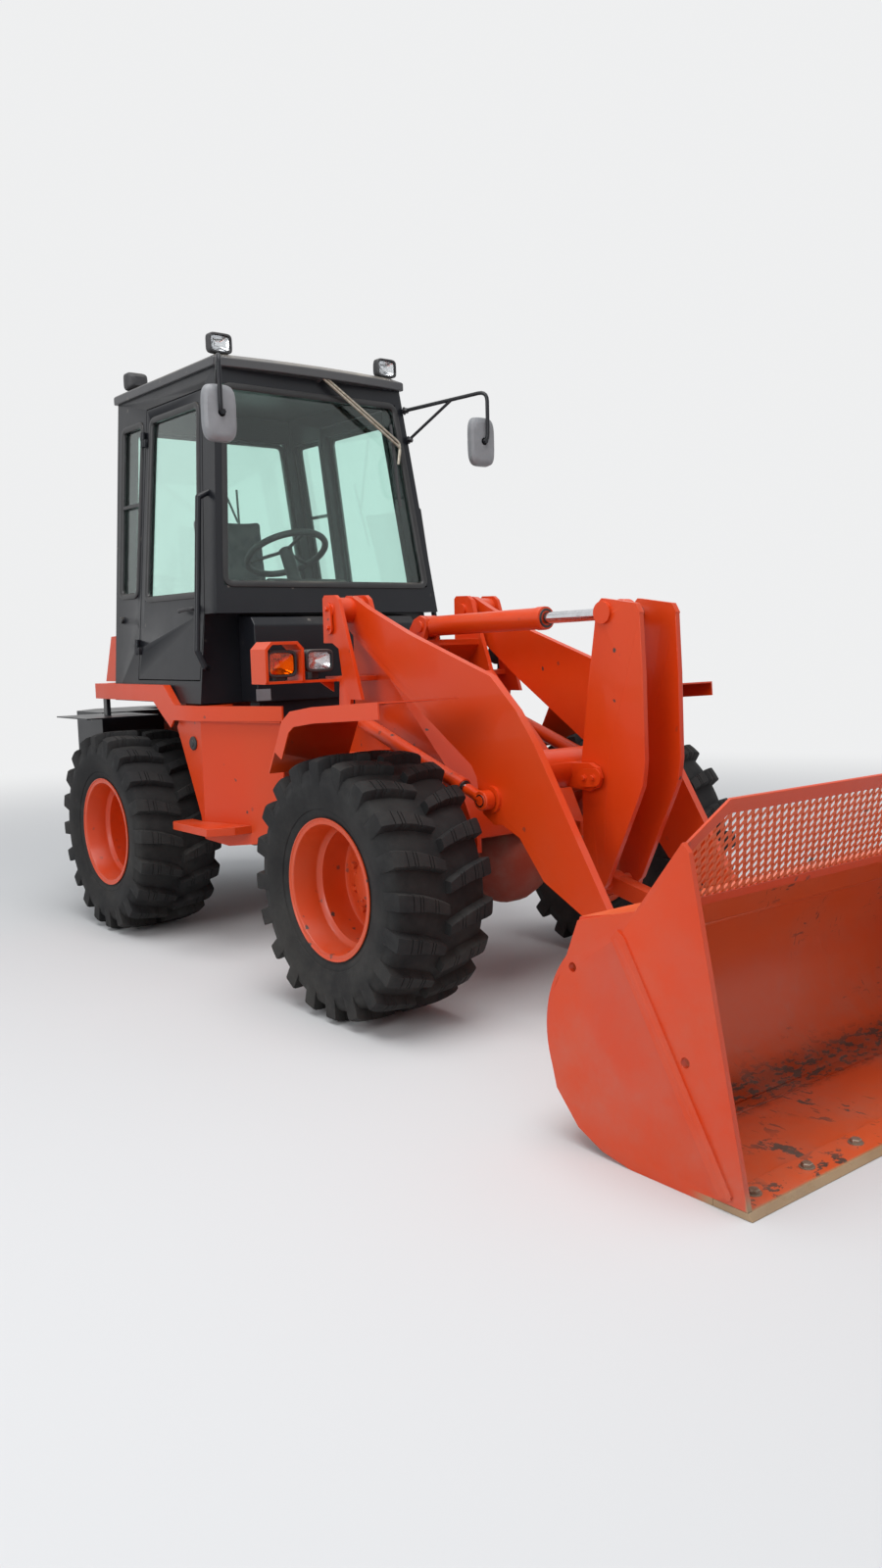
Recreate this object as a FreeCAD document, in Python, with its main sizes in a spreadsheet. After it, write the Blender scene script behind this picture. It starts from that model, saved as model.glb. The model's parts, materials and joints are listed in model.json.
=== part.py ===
import FreeCAD
import Part
import os
import Sketcher
from math import atan2, cos, degrees, hypot, pi, sin
from FreeCAD import Placement, Rotation, Vector

# A compact articulated wheel loader. Millimetres. X forward, Y left, Z up.
# The origin lies on the ground, in the middle of the length and the width.

# Driving dimensions: name, value, what it is
SIZES = [
    ("front_axle_x", 490, "front axle, forward of the origin"),
    ("wheelbase", 1898, "front axle to rear axle"),
    ("track", 1300, "middle of tyre to middle of tyre"),
    ("tyre_dia", 935, "outer diameter over the lugs"),
    ("tyre_width", 395, "tyre section width"),
    ("lug_height", 30, "lug above the carcass"),
    ("rim_dia", 504, "outer diameter of the rim flange"),
    ("rim_width", 350, "over the rim flanges"),
    ("rim_wall", 8, "thickness of the rim barrel"),
    ("disc_wall", 14, "thickness of the wheel disc"),
    ("disc_inset", 45, "wheel disc, inward of the tyre's middle"),
    ("hub_dia", 190, "outer diameter of the wheel hub"),
    ("spindle_dia", 90, "axle end that carries the hub"),
    ("running_gap", 0.05, "radial clearance of a running fit"),
    ("seat_gap", 0.3, "gap between pieces that rest against each other"),
    ("side_gap", 1.0, "side clearance of a hinged piece"),
    ("axle_tube_dia", 130, "axle beam"),
    ("diff_dia", 330, "ball of the axle housing"),
    ("hinge_height_low", 560, "lower articulation lug"),
    ("hinge_height_high", 900, "upper articulation lug"),
    ("hinge_pin_dia", 60, "articulation pin"),
    ("frame_plate", 25, "thickness of the chassis plates"),
    ("front_plate_y", 275, "outer face of the front chassis plates"),
    ("rear_plate_y", 260, "outer face of the rear chassis plates"),
    ("tower_outer_y", 418, "outer face of the loader tower"),
    ("tower_plate", 16, "thickness of the outer tower plate"),
    ("boom_pivot_x", -42, "boom pivot"),
    ("boom_pivot_z", 1445, "boom pivot"),
    ("boom_pin_dia", 50, "boom pivot pin"),
    ("arm_outer_y", 330, "outer face of a boom arm"),
    ("arm_plate", 30, "thickness of a boom arm"),
    ("cross_tube_dia", 140, "tube that joins the boom arms"),
    ("bucket_pin_x", 1580, "boom to bucket pin, bucket on the ground"),
    ("bucket_pin_z", 225, "boom to bucket pin"),
    ("link_pin_x", 1639, "link to bucket pin"),
    ("link_pin_z", 335, "link to bucket pin"),
    ("crank_x", 1070, "bell crank pivot"),
    ("crank_z", 840, "bell crank pivot"),
    ("crank_low_x", 1060, "lower bell crank pin"),
    ("crank_low_z", 457, "lower bell crank pin"),
    ("crank_top_x", 1120, "upper bell crank pin"),
    ("crank_top_z", 1394, "upper bell crank pin"),
    ("crank_outer_y", 100, "outer face of the bell crank"),
    ("crank_plate", 22, "thickness of a bell crank plate"),
    ("pin_dia", 45, "linkage pins"),
    ("boss_dia", 95, "bosses round the linkage pins"),
    ("tilt_base_x", 40, "tilt cylinder base pin"),
    ("tilt_base_z", 1375, "tilt cylinder base pin"),
    ("tilt_barrel_dia", 80, "tilt cylinder barrel"),
    ("tilt_rod_dia", 42, "tilt cylinder rod"),
    ("tilt_barrel_length", 700, "tilt cylinder, base pin to gland"),
    ("lift_base_x", 30, "lift cylinder base pin"),
    ("lift_base_z", 1026, "lift cylinder base pin"),
    ("lift_pin_x", 803, "lift cylinder rod pin on the boom"),
    ("lift_pin_z", 762, "lift cylinder rod pin on the boom"),
    ("lift_y", 367, "middle of the lift cylinder"),
    ("lift_barrel_dia", 56, "lift cylinder barrel"),
    ("lift_rod_dia", 36, "lift cylinder rod"),
    ("lift_barrel_length", 700, "lift cylinder, base pin to gland"),
    ("steer_base_x", -500, "steering cylinder base pin, from the articulation"),
    ("steer_base_y", -140, "steering cylinder base pin"),
    ("steer_eye_x", 70, "steering cylinder rod pin, from the articulation"),
    ("steer_eye_y", -170, "steering cylinder rod pin"),
    ("steer_z", 710, "middle of the steering cylinder"),
    ("steer_barrel_dia", 56, "steering cylinder barrel"),
    ("steer_rod_dia", 30, "steering cylinder rod"),
    ("steer_pin_dia", 30, "steering cylinder pins"),
    ("bore_wall", 6, "wall of a cylinder barrel"),
    ("eye_width", 40, "width of a cylinder eye"),
    ("bucket_half", 932, "half the width of the bucket"),
    ("bucket_lip_x", 2351, "cutting edge, bucket on the ground"),
    ("bucket_plate", 12, "thickness of the bucket shell"),
    ("bucket_side", 16, "thickness of the bucket's side plates"),
    ("guard_bar", 40, "width of the spill guard's flat bar"),
    ("guard_plate", 8, "thickness of the spill guard"),
    ("panel_y", 640, "outer face of the rear body sides"),
    ("panel_plate", 6, "sheet of the rear body sides"),
    ("band_reach", 32, "side band and fender skirt, out from the tank's face"),
    ("side_bend_x", -750, "where the sides bend inwards, to clear the front body as it turns"),
    ("side_front_x", -265, "front end of the side band"),
    ("side_taper", 148, "how far the sides come in at the front end of the band"),
    ("fender_z", 1152, "top of the rear fenders"),
    ("band_z", 1064, "top of the side boxes"),
    ("tank_inner_y", 360, "inner face of the side tanks"),
    ("tank_bottom_z", 500, "bottom of the side tanks"),
    ("step_reach", 105, "step, out from the tank"),
    ("step_z", 562, "top of the step"),
    ("cab_floor_z", 1072, "underside of the cab"),
    ("cab_sill_z", 1170, "bottom of the doors"),
    ("cab_belt_z", 1457, "bottom of the cab's front panel"),
    ("cab_top_z", 2500, "underside of the roof"),
    ("roof_z", 2560, "top of the roof"),
    ("cab_base_half", 635, "half width of the cab at its floor"),
    ("cab_lean_side", 0.101, "lean of the cab's sides, per millimetre of height"),
    ("cab_lean_front", 0.115, "lean of the cab's front"),
    ("cab_lean_rear", 0.07, "lean of the cab's rear"),
    ("cab_front_x", -640, "cab front at the belt"),
    ("cab_foot_x", -748, "cab front below the belt"),
    ("cab_rear_x", -1640, "cab rear at the floor"),
    ("cab_wall", 40, "thickness of the cab walls and doors"),
    ("door_rear_x", -1385, "hinge edge of the door"),
    ("door_front_x", -762, "free edge of the door, at the sill"),
    ("door_top_z", 2425, "top of the door"),
    ("door_gap", 5, "gap round the door"),
    ("glass_thick", 6, "window glass"),
    ("glass_inset", 14, "glass behind the cab's outer face"),
    ("hood_half", 480, "half width of the engine hood"),
    ("hood_z", 1395, "top of the hood at the cab"),
    ("hood_wall", 8, "sheet of the hood"),
    ("hood_gap", 14, "gap between the cab and the hood"),
    ("rear_end_x", -2350, "rear face of the counterweight"),
    ("weight_half", 600, "half width of the counterweight"),
    ("weight_top_z", 1000, "top of the counterweight"),
    ("weight_bottom_z", 430, "bottom of the counterweight"),
    ("hitch_pin_dia", 40, "bore of the tow hitch"),
    ("front_fender_z", 1120, "top of the front fenders"),
    ("fender_sheet", 6, "sheet of the front fenders"),
    ("fender_outer_y", 830, "outer edge of the front fenders"),
]

doc = FreeCAD.newDocument("WheelLoader")
sheet = doc.addObject("Spreadsheet::Sheet", "sizes")
for row, (alias, value, meaning) in enumerate(SIZES, start=1):
    sheet.set(f"A{row}", meaning)
    sheet.set(f"B{row}", str(value))
    sheet.setAlias(f"B{row}", alias)
doc.recompute()


class Size:
    """A length that keeps its value together with its spreadsheet expression."""

    def __init__(self, value, text):
        self.value = float(value)
        self.text = text

    def _join(self, other, sign, value):
        return Size(value, f"({self.text} {sign} {as_text(other)})")

    def __add__(self, other):
        return self._join(other, "+", self.value + as_value(other))

    def __sub__(self, other):
        return self._join(other, "-", self.value - as_value(other))

    def __mul__(self, other):
        return self._join(other, "*", self.value * as_value(other))

    def __truediv__(self, other):
        return self._join(other, "/", self.value / as_value(other))

    def __radd__(self, other):
        return as_size(other) + self

    def __rsub__(self, other):
        return as_size(other) - self

    def __rmul__(self, other):
        return as_size(other) * self

    def __neg__(self):
        return Size(-self.value, f"(-1 * {self.text})")

    def __float__(self):
        return self.value


def as_value(number):
    return number.value if isinstance(number, Size) else float(number)


def as_text(number):
    return number.text if isinstance(number, Size) else repr(float(number))


def as_size(number):
    return number if isinstance(number, Size) else Size(number, repr(float(number)))


class Sheet:
    """The driving dimensions by name, read from the spreadsheet."""


s = Sheet()
for alias, _, _ in SIZES:
    setattr(s, alias, Size(sheet.get(alias), f"sizes.{alias}"))


def bind(obj, path, number):
    """Drive a property by the sheet, or set it where it is a plain number."""
    obj.setExpression(path, as_text(number))


def box(name, x, y, z):
    """A block between pairs of low and high faces."""
    obj = doc.addObject("Part::Box", name)
    for low_high, side, axis in ((x, "Length", "x"), (y, "Width", "y"), (z, "Height", "z")):
        low, high = low_high
        bind(obj, side, as_size(high) - low)
        bind(obj, f"Placement.Base.{axis}", low)
    return obj


TURNS = {"x": Rotation(Vector(0, 1, 0), 90), "y": Rotation(Vector(1, 0, 0), -90), "z": Rotation()}


def rod(name, axis, diameter, start, length):
    """A cylinder along an axis, from its start point."""
    obj = doc.addObject("Part::Cylinder", name)
    bind(obj, "Radius", as_size(diameter) / 2)
    bind(obj, "Height", length)
    obj.Placement = Placement(Vector(*[as_value(c) for c in start]), TURNS[axis])
    for letter, place in zip("xyz", start):
        bind(obj, f"Placement.Base.{letter}", place)
    return obj


PLANES = {"xz": "XZ_Plane", "yz": "YZ_Plane", "xy": "XY_Plane"}


def plate(name, plane, outline, low, high, holes=()):
    """A PartDesign plate: an outline on an origin plane, padded from low to high along its normal."""
    body = doc.addObject("PartDesign::Body", name)
    sketch = body.newObject("Sketcher::SketchObject", f"{name}_outline")
    roles = {feature.Role: feature for feature in body.Origin.OriginFeatures}
    sketch.AttachmentSupport = [(roles[PLANES[plane]], "")]
    sketch.MapMode = "FlatFace"
    corners = [Vector(as_value(a), as_value(b), 0) for a, b in outline]
    sketch.addGeometry([Part.LineSegment(a, b) for a, b in zip(corners, corners[1:] + corners[:1])], False)
    count = len(corners)
    for i in range(count):
        sketch.addConstraint(Sketcher.Constraint("Coincident", i, 2, (i + 1) % count, 1))
    for i, point in enumerate(outline):
        for kind, number in zip(("DistanceX", "DistanceY"), point):
            index = sketch.addConstraint(Sketcher.Constraint(kind, -1, 1, i, 1, as_value(number)))
            if isinstance(number, Size):
                sketch.setExpression(f"Constraints[{index}]", number.text)
    for a, b, diameter in holes:
        at = Vector(as_value(a), as_value(b), 0)
        ring = sketch.addGeometry(Part.Circle(at, Vector(0, 0, 1), as_value(diameter) / 2), False)
        for kind, number in (("DistanceX", a), ("DistanceY", b)):
            index = sketch.addConstraint(Sketcher.Constraint(kind, -1, 1, ring, 3, as_value(number)))
            sketch.setExpression(f"Constraints[{index}]", as_text(number))
        index = sketch.addConstraint(Sketcher.Constraint("Diameter", ring, as_value(diameter)))
        sketch.setExpression(f"Constraints[{index}]", as_text(diameter))
    pad = body.newObject("PartDesign::Pad", f"{name}_pad")
    pad.Profile = sketch
    bind(pad, "Length", as_size(high) - low)
    lift = -as_size(high) if plane == "xz" else as_size(low)
    sketch.setExpression("AttachmentOffset.Base.z", lift.text)
    body.Tip = pad
    return body


def fuse(name, pieces):
    obj = doc.addObject("Part::MultiFuse", name)
    obj.Shapes = pieces
    obj.Refine = True
    return obj


def cut(name, base, tools):
    obj = doc.addObject("Part::Cut", name)
    obj.Base = base
    obj.Tool = tools[0] if len(tools) == 1 else fuse(f"{name}_tools", tools)
    obj.Refine = True
    return obj


def common(name, pieces):
    """What all the pieces share."""
    obj = doc.addObject("Part::MultiCommon", name)
    obj.Shapes = pieces
    obj.Refine = True
    return obj


def mirrored(name, source):
    """The same piece on the other side of the centre plane."""
    obj = doc.addObject("Part::Mirroring", name)
    obj.Source = source
    obj.Normal = Vector(0, 1, 0)
    return obj


def group(name, pieces):
    """Like pieces of one body that share a node and do not touch."""
    obj = doc.addObject("Part::Compound", name)
    obj.Links = pieces
    return obj


def shaped(name, shape):
    """A form that neither a sketch nor a primitive fits."""
    obj = doc.addObject("Part::Feature", name)
    obj.Shape = shape
    return obj


nodes = []


def node(obj, label):
    obj.Label = label
    nodes.append(obj)
    return obj


def both(name, piece):
    """A piece and its mirror image, as one node."""
    return group(name, [piece, mirrored(f"{name}_mirrored", piece)])


def wire(points):
    corners = [Vector(*[as_value(c) for c in p]) for p in points]
    return Part.makePolygon(corners + corners[:1])


def loft(sections):
    return Part.makeLoft([wire(section) for section in sections], True, True)


def turned(profile, axis_point, axis):
    """A closed profile turned through a full circle."""
    return Part.Face(wire(profile)).revolve(axis_point, axis, 360)


# Places that several pieces share
rear_axle_x = s.front_axle_x - s.wheelbase
hinge_x = s.front_axle_x - s.wheelbase / 2
axle_z = s.tyre_dia / 2
wheel_y = s.track / 2


# Wheels: a tyre with chevron lugs, and a deep rim with its disc and hub. Both are faceted, so that the
# round of the wheel costs few faces: flats of a bore touch the round that they fit.
LUGS = 20
BEAD_SIDES = 20
RIM_SIDES = 40
rim_seat = s.rim_dia / 2 - 17


def skin(corners):
    """A fan of flat triangles over three or four corners."""
    return [Part.Face(Part.makePolygon([corners[0], b, c, corners[0]])) for b, c in zip(corners[1:], corners[2:])]


def closed(faces):
    """A solid from faces that meet at their edges."""
    shell = Part.Shell(faces)
    shell.sewShape(0.01)
    solid = Part.Solid(shell)
    if solid.Volume < 0:
        solid.reverse()
    return solid


def on_wheel(across, radius, angle):
    return Vector(radius * sin(angle), across, radius * cos(angle))


def faceted(profile, sides):
    """A closed profile (across, radius) turned about Y in flat steps; its flats lie at the given radius."""
    step = 2 * pi / sides
    rings = [[on_wheel(across, radius / cos(step / 2), step * count) for count in range(sides)]
             for across, radius in profile]
    faces = []
    for ring, following in zip(rings, rings[1:] + rings[:1]):
        for count in range(sides):
            after = (count + 1) % sides
            faces.append(Part.Face(Part.makePolygon([ring[count], ring[after], following[after], following[count],
                                                     ring[count]])))
    return closed(faces)


def tyre():
    """A tyre turned about Y at the origin: chevron lugs on the tread floor, side walls and beads."""
    top = float(s.tyre_dia / 2)
    half = float(s.tyre_width / 2)
    floor = top - float(s.lug_height)
    flange = float(s.rim_dia / 2) + 2
    bead_y = float(s.rim_width / 2 - s.rim_wall)
    pitch = 2 * pi / LUGS
    round_up = cos(pi / BEAD_SIDES)
    # Across the tread: place, radius on the lug, radius beside it, the lug's first and last edge along the tread
    stations = [(4, top - 0.5, floor, 2, 44), (0.46 * half, top - 1, floor - 1, -34, 16),
                (half - 5.5, top - 12, floor - 12, -58, 4)]
    first, last = stations[-1][3:]
    halves = []
    for side, shift in ((1, 0.0), (-1, 0.5)):
        lugs = []
        for count in range(LUGS):
            start = (count + shift) * pitch
            rows = [[on_wheel(side * across, radius, start + edge / top)
                     for radius, edge in ((beside, a), (over, a), (over, b), (beside, b))]
                    for across, over, beside, a, b in stations]
            shoulder = [on_wheel(side * half, top - 67, start + edge / top) for edge in (first, last)]
            wall = [on_wheel(side * half, top - 123, start + edge / top) for edge in (first, last)]
            beads = [on_wheel(side * bead_y, radius / round_up, start - 27 / top)
                     for radius in (flange, float(rim_seat))]
            lugs.append((rows, shoulder, wall, beads))
        halves.append(lugs)
    panels = []
    for lugs in halves:
        for lug, after in zip(lugs, lugs[1:] + lugs[:1]):
            rows, shoulder, wall, beads = lug
            next_rows, next_shoulder, next_wall, next_beads = after
            for (a, b, c, d), (e, f, g, h), (n, _, _, _), (m, _, _, _) in zip(rows, rows[1:], next_rows, next_rows[1:]):
                panels += [(a, b, f, e), (b, c, g, f), (c, d, h, g), (d, n, m, h)]
            a, b, c, d = rows[-1]
            panels += [rows[0], (a, b, shoulder[0]), (b, c, shoulder[1], shoulder[0]), (c, d, shoulder[1]),
                       (d, next_rows[-1][0], next_shoulder[0], shoulder[1]),
                       (shoulder[0], shoulder[1], wall[1], wall[0]),
                       (shoulder[1], next_shoulder[0], next_wall[0], wall[1]), (wall[0], wall[1], beads[0]),
                       (wall[1], next_wall[0], next_beads[0], beads[0]),
                       (beads[0], next_beads[0], next_beads[1], beads[1])]
    left, right = halves
    for count in range(LUGS):
        ahead = (count + 1) % LUGS
        start, end, following = left[count][0][0][0], left[count][0][0][3], left[ahead][0][0][0]
        near, far, before = right[count][0][0][0], right[count][0][0][3], right[count - 1][0][0][3]
        panels += [(start, end, near, before), (end, following, far, near)]
        seat, next_seat = left[count][3][1], left[ahead][3][1]
        panels += [(seat, next_seat, right[count][3][1]), (seat, right[count][3][1], right[count - 1][3][1])]
    faces = []
    for corners in panels:
        faces += skin(corners)
    return closed(faces)


tyre_form = tyre()


def rim():
    """Rim and disc in flat steps, with a round hub; the outer side of the wheel is +Y."""
    edge = float(s.rim_width / 2)
    flange = float(s.rim_dia / 2)
    lip = edge - float(s.rim_wall)
    flat = cos(pi / RIM_SIDES)
    seat = float(rim_seat) * flat - 0.1
    well = seat - 20
    wall = float(s.rim_wall)
    inset = -float(s.disc_inset)
    hub = float(s.hub_dia / 2)
    bore = float(s.spindle_dia / 2 + s.running_gap)
    disc = float(s.disc_wall)
    barrel = [(edge, flange * flat), (lip, flange * flat), (lip, seat), (70, seat), (56, well), (-56, well),
              (-70, seat), (-lip, seat), (-lip, flange * flat), (-edge, flange * flat), (-edge, seat - wall),
              (-74, seat - wall), (-60, well - wall), (inset - disc, well - wall), (inset - disc, hub - 20),
              (inset, hub - 20), (inset, hub + 12), (inset + 4, well - 34), (inset + 14, well - wall),
              (60, well - wall), (74, seat - wall), (edge, seat - wall)]
    middle = [(-105, hub), (-105, bore), (-12, bore), (-12, 0), (18, 0), (18, hub - 34), (6, hub - 18), (inset, hub)]
    turned_hub = turned([(0, across, r) for across, r in middle], Vector(), Vector(0, 1, 0))
    return faceted(barrel, RIM_SIDES).fuse(turned_hub)


rim_form = rim()
WHEELS = [("front_left", s.front_axle_x, 1), ("front_right", s.front_axle_x, -1),
          ("rear_left", rear_axle_x, 1), ("rear_right", rear_axle_x, -1)]
for label, wheel_x, side in WHEELS:
    for piece, form in (("tyre", tyre_form), ("rim", rim_form)):
        copy = form.copy() if side > 0 else form.mirror(Vector(), Vector(0, 1, 0))
        part = shaped(f"{piece}_{label}_form", copy)
        part.Placement = Placement(Vector(0, side * float(wheel_y), 0), Rotation())
        bind(part, "Placement.Base.x", wheel_x)
        bind(part, "Placement.Base.y", wheel_y * side)
        bind(part, "Placement.Base.z", axle_z)
        node(part, f"{piece}_{label}")

# Axles: a beam with the differential's ball and a spindle at each end
spindle_end = wheel_y - 12
beam_end = wheel_y - 112


def axle(name, axle_x, toward):
    beam = rod(f"{name}_beam", "y", s.axle_tube_dia, (axle_x, -beam_end, axle_z), beam_end * 2)
    spindle = rod(f"{name}_spindle", "y", s.spindle_dia, (axle_x, -spindle_end, axle_z), spindle_end * 2)
    ball_r = float(s.diff_dia / 2)
    tube_r = float(s.axle_tube_dia / 2)
    section = [(-ball_r, 20), (-ball_r, tube_r), (-0.6 * ball_r, 0.86 * ball_r), (-0.2 * ball_r, ball_r),
               (0.2 * ball_r, ball_r), (0.6 * ball_r, 0.86 * ball_r), (ball_r, tube_r), (ball_r, 20)]
    ball = shaped(f"{name}_ball", faceted(section, 24))
    bind(ball, "Placement.Base.x", axle_x)
    bind(ball, "Placement.Base.z", axle_z)
    nose_start = axle_x if toward > 0 else axle_x - s.diff_dia * 0.75
    nose = rod(f"{name}_nose", "x", s.axle_tube_dia, (nose_start, 0, axle_z), s.diff_dia * 0.75)
    pads = [box(f"{name}_pad", (axle_x - 90, axle_x + 90), (s.front_plate_y - 55, s.front_plate_y),
                (axle_z, axle_z + s.axle_tube_dia / 2 + 12))]
    pads.append(mirrored(f"{name}_pad_mirrored", pads[0]))
    return fuse(f"{name}_housing", [beam, spindle, ball, nose] + pads)


node(axle("front_axle_part", s.front_axle_x, -1), "front_axle")
node(axle("rear_axle_part", rear_axle_x, 1), "rear_axle")
pad_top_z = axle_z + s.axle_tube_dia / 2 + 12

# Front frame: chassis plates, loader tower, articulation tongue, pins, lamp shelves
front_rear_x = hinge_x + 129
tower_head = [(s.boom_pivot_x - 55, s.boom_pivot_z + 48), (s.boom_pivot_x - 42, s.boom_pivot_z + 60),
              (s.boom_pivot_x + 33, s.boom_pivot_z + 58), (s.boom_pivot_x + 56, s.boom_pivot_z + 42),
              (s.boom_pivot_x + 64, s.boom_pivot_z + 22)]
plate_outline = [(front_rear_x, 500), (front_rear_x, 985), (s.boom_pivot_x - 60, 1030)] + tower_head
plate_outline += [(130, 1188), (560, 773), (650, 600), (650, pad_top_z), (300, pad_top_z), (120, 470), (-60, 470)]
front_plate = plate("front_chassis_plate", "xz", plate_outline, s.front_plate_y - s.frame_plate * 0.8,
                    s.front_plate_y)
shelf_z = 1187
tower_outline = [(s.boom_pivot_x - 57, s.boom_pivot_z - 127)] + tower_head
tower_outline += [(150, 1098), (70, 1098), (s.boom_pivot_x + 65, shelf_z), (s.boom_pivot_x + 46, 1295),
                  (s.boom_pivot_x + 4, s.boom_pivot_z - 128)]
tower_plate = plate("tower_outer_plate", "xz", tower_outline, s.tower_outer_y - s.tower_plate, s.tower_outer_y)
tower_shelf = box("tower_shelf", (s.boom_pivot_x - 53, 60), (s.front_plate_y - 2, s.tower_outer_y),
                  (shelf_z - 19, shelf_z))
boom_pin = rod("boom_pivot_pin", "y", s.boom_pin_dia, (s.boom_pivot_x, s.front_plate_y - 30, s.boom_pivot_z),
               s.tower_outer_y - s.front_plate_y + 36)
# An ear below the outer plate holds the lift cylinder's base pin, with its collar inboard of the eye
lift_ear = plate("lift_base_ear", "xz", [(5, shelf_z + 3), (s.lift_base_x - 36, s.lift_base_z + 14),
                                         (s.lift_base_x - 24, s.lift_base_z - 22), (s.lift_base_x, s.lift_base_z - 34),
                                         (s.lift_base_x + 24, s.lift_base_z - 22),
                                         (s.lift_base_x + 36, s.lift_base_z + 14), (78, 1110), (60, shelf_z + 3)],
                 s.tower_outer_y - s.tower_plate, s.tower_outer_y)
lift_inner_y = s.lift_y - s.eye_width / 2 - s.seat_gap
lift_pin = rod("lift_base_pin", "y", s.pin_dia, (s.lift_base_x, lift_inner_y - 5, s.lift_base_z),
               s.tower_outer_y - lift_inner_y + 11)
lift_cap = rod("lift_base_cap", "y", s.pin_dia + 14, (s.lift_base_x, lift_inner_y - 6, s.lift_base_z), 6)
side_pieces = [front_plate, tower_plate, tower_shelf, boom_pin, lift_ear, lift_pin, lift_cap]
inner_y = s.front_plate_y - s.frame_plate * 0.8
cover = plate("front_cover", "xz", [(130, 1188), (560, 773), (650, 600), (640, 594), (551, 763), (122, 1178)],
              -inner_y, inner_y)
rear_cross = box("front_rear_cross", (front_rear_x, front_rear_x + 25), (-inner_y, inner_y), (500, 985))
tower_cross = plate("tower_cross", "xz", [(-95, 1180), (-95, 1322), (60, 1322), (60, 1298), (-60, 1180)],
                    -inner_y, inner_y)
tongue_outline = [(hinge_x, 60), (hinge_x - 42, 42), (hinge_x - 60, 0), (hinge_x - 42, -42), (hinge_x, -60),
                  (front_rear_x + 5, -130), (front_rear_x + 5, 130)]
TONGUES = [("low", s.hinge_height_low), ("high", s.hinge_height_high)]
tongue_thick = 40
tongues = []
for label, height in TONGUES:
    tongues.append(plate(f"tongue_{label}", "xy", tongue_outline, height - tongue_thick, height,
                         [(hinge_x, 0, s.hinge_pin_dia + s.running_gap * 2)]))
steer_eye = (hinge_x + s.steer_eye_x, s.steer_eye_y, s.steer_z)
steer_ears = [box(f"steer_ear_{label}", (steer_eye[0] - 36, front_rear_x + 5), (s.steer_eye_y - 36, s.steer_eye_y + 36),
                  (low, low + 14)) for label, low in (("low", s.steer_z - 37), ("high", s.steer_z + 23))]
tilt_lug = plate("tilt_base_lug", "xz", [(s.tilt_base_x - 110, 1316), (s.tilt_base_x - 40, s.tilt_base_z + 30),
                 (s.tilt_base_x, s.tilt_base_z + 45), (s.tilt_base_x + 32, s.tilt_base_z + 32),
                 (s.tilt_base_x + 45, s.tilt_base_z), (s.tilt_base_x + 20, 1316)],
                 s.eye_width / 2 + s.side_gap, s.eye_width / 2 + s.side_gap + 20)
tilt_pin = rod("tilt_base_pin", "y", s.pin_dia, (s.tilt_base_x, -(s.eye_width / 2 + 30), s.tilt_base_z),
               s.eye_width + 60)
# Lamp shelf outboard of the tower, with a rounded guard over the turn lamp and a gusset below
shelf_x = s.boom_pivot_x + 32
guard_in_y, guard_out_y = 570, 742
shelf = box("lamp_shelf", (shelf_x - 105, shelf_x), (s.tower_outer_y - 4, guard_out_y), (shelf_z - 19, shelf_z - 9))
gusset = plate("lamp_shelf_gusset", "yz", [(s.tower_outer_y - 4, shelf_z - 60), (s.tower_outer_y - 4, shelf_z - 12),
                                           (s.tower_outer_y + 70, shelf_z - 12)], shelf_x - 40, shelf_x - 30)
guard_top_z = shelf_z + 141
guard_line = [(guard_in_y, shelf_z - 12), (guard_in_y, guard_top_z - 28), (guard_in_y + 28, guard_top_z),
              (guard_out_y - 28, guard_top_z), (guard_out_y, guard_top_z - 28), (guard_out_y, shelf_z - 12),
              (guard_out_y - 12, shelf_z - 12), (guard_out_y - 12, guard_top_z - 33),
              (guard_out_y - 33, guard_top_z - 12), (guard_in_y + 33, guard_top_z - 12),
              (guard_in_y + 12, guard_top_z - 33), (guard_in_y + 12, shelf_z - 12)]
lamp_guard = plate("lamp_guard", "yz", guard_line, shelf_x - 105, shelf_x + 6)
# Front fenders' line from the foot of the drop wall up and forward, and the stay that carries the wall
fender_line = [(140, 850), (185, 930), (245, 1040), (300, 1075), (443, 1094), (830, s.front_fender_z)]
stay = plate("fender_stay", "xz", [(138.3, 860), (160.8, 900), (130.8, 900), (108.3, 860)], s.front_plate_y - 5,
             s.tower_outer_y + 130)
side_pieces += [shelf, gusset, lamp_guard, tilt_lug, stay]
side_group = fuse("front_frame_left", side_pieces)
front_frame = fuse("front_frame_part", [side_group, mirrored("front_frame_right", side_group), cover, rear_cross,
                                        tower_cross, tilt_pin] + tongues + steer_ears)
node(front_frame, "front_frame")

# Front fenders: an arched sheet over each front tyre, with a deep drop behind it
fender_inner = s.tower_outer_y + 77


def arched(points, low, high, thick):
    """A bent sheet: a side profile with its parallel, spread across the width."""
    upper = [(x, low, z) for x, z in points]
    edge = Part.Wire(Part.makePolygon([Vector(*[as_value(c) for c in p]) for p in upper]))
    band = edge.makeOffset2D(thick, 2, True, True, True)
    return band.extrude(Vector(0, as_value(high) - as_value(low), 0))


fender_line = [(as_value(x), as_value(z)) for x, z in fender_line]
fender_sheet = arched(fender_line, float(fender_inner), float(s.fender_outer_y), float(s.fender_sheet))
fender_flange = arched(fender_line[1:], float(s.fender_outer_y - s.fender_sheet), float(s.fender_outer_y), -50)
front_fender = shaped("front_fender_sheet", fender_sheet.fuse(fender_flange))
node(both("front_fenders_part", front_fender), "front_fenders")

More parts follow.
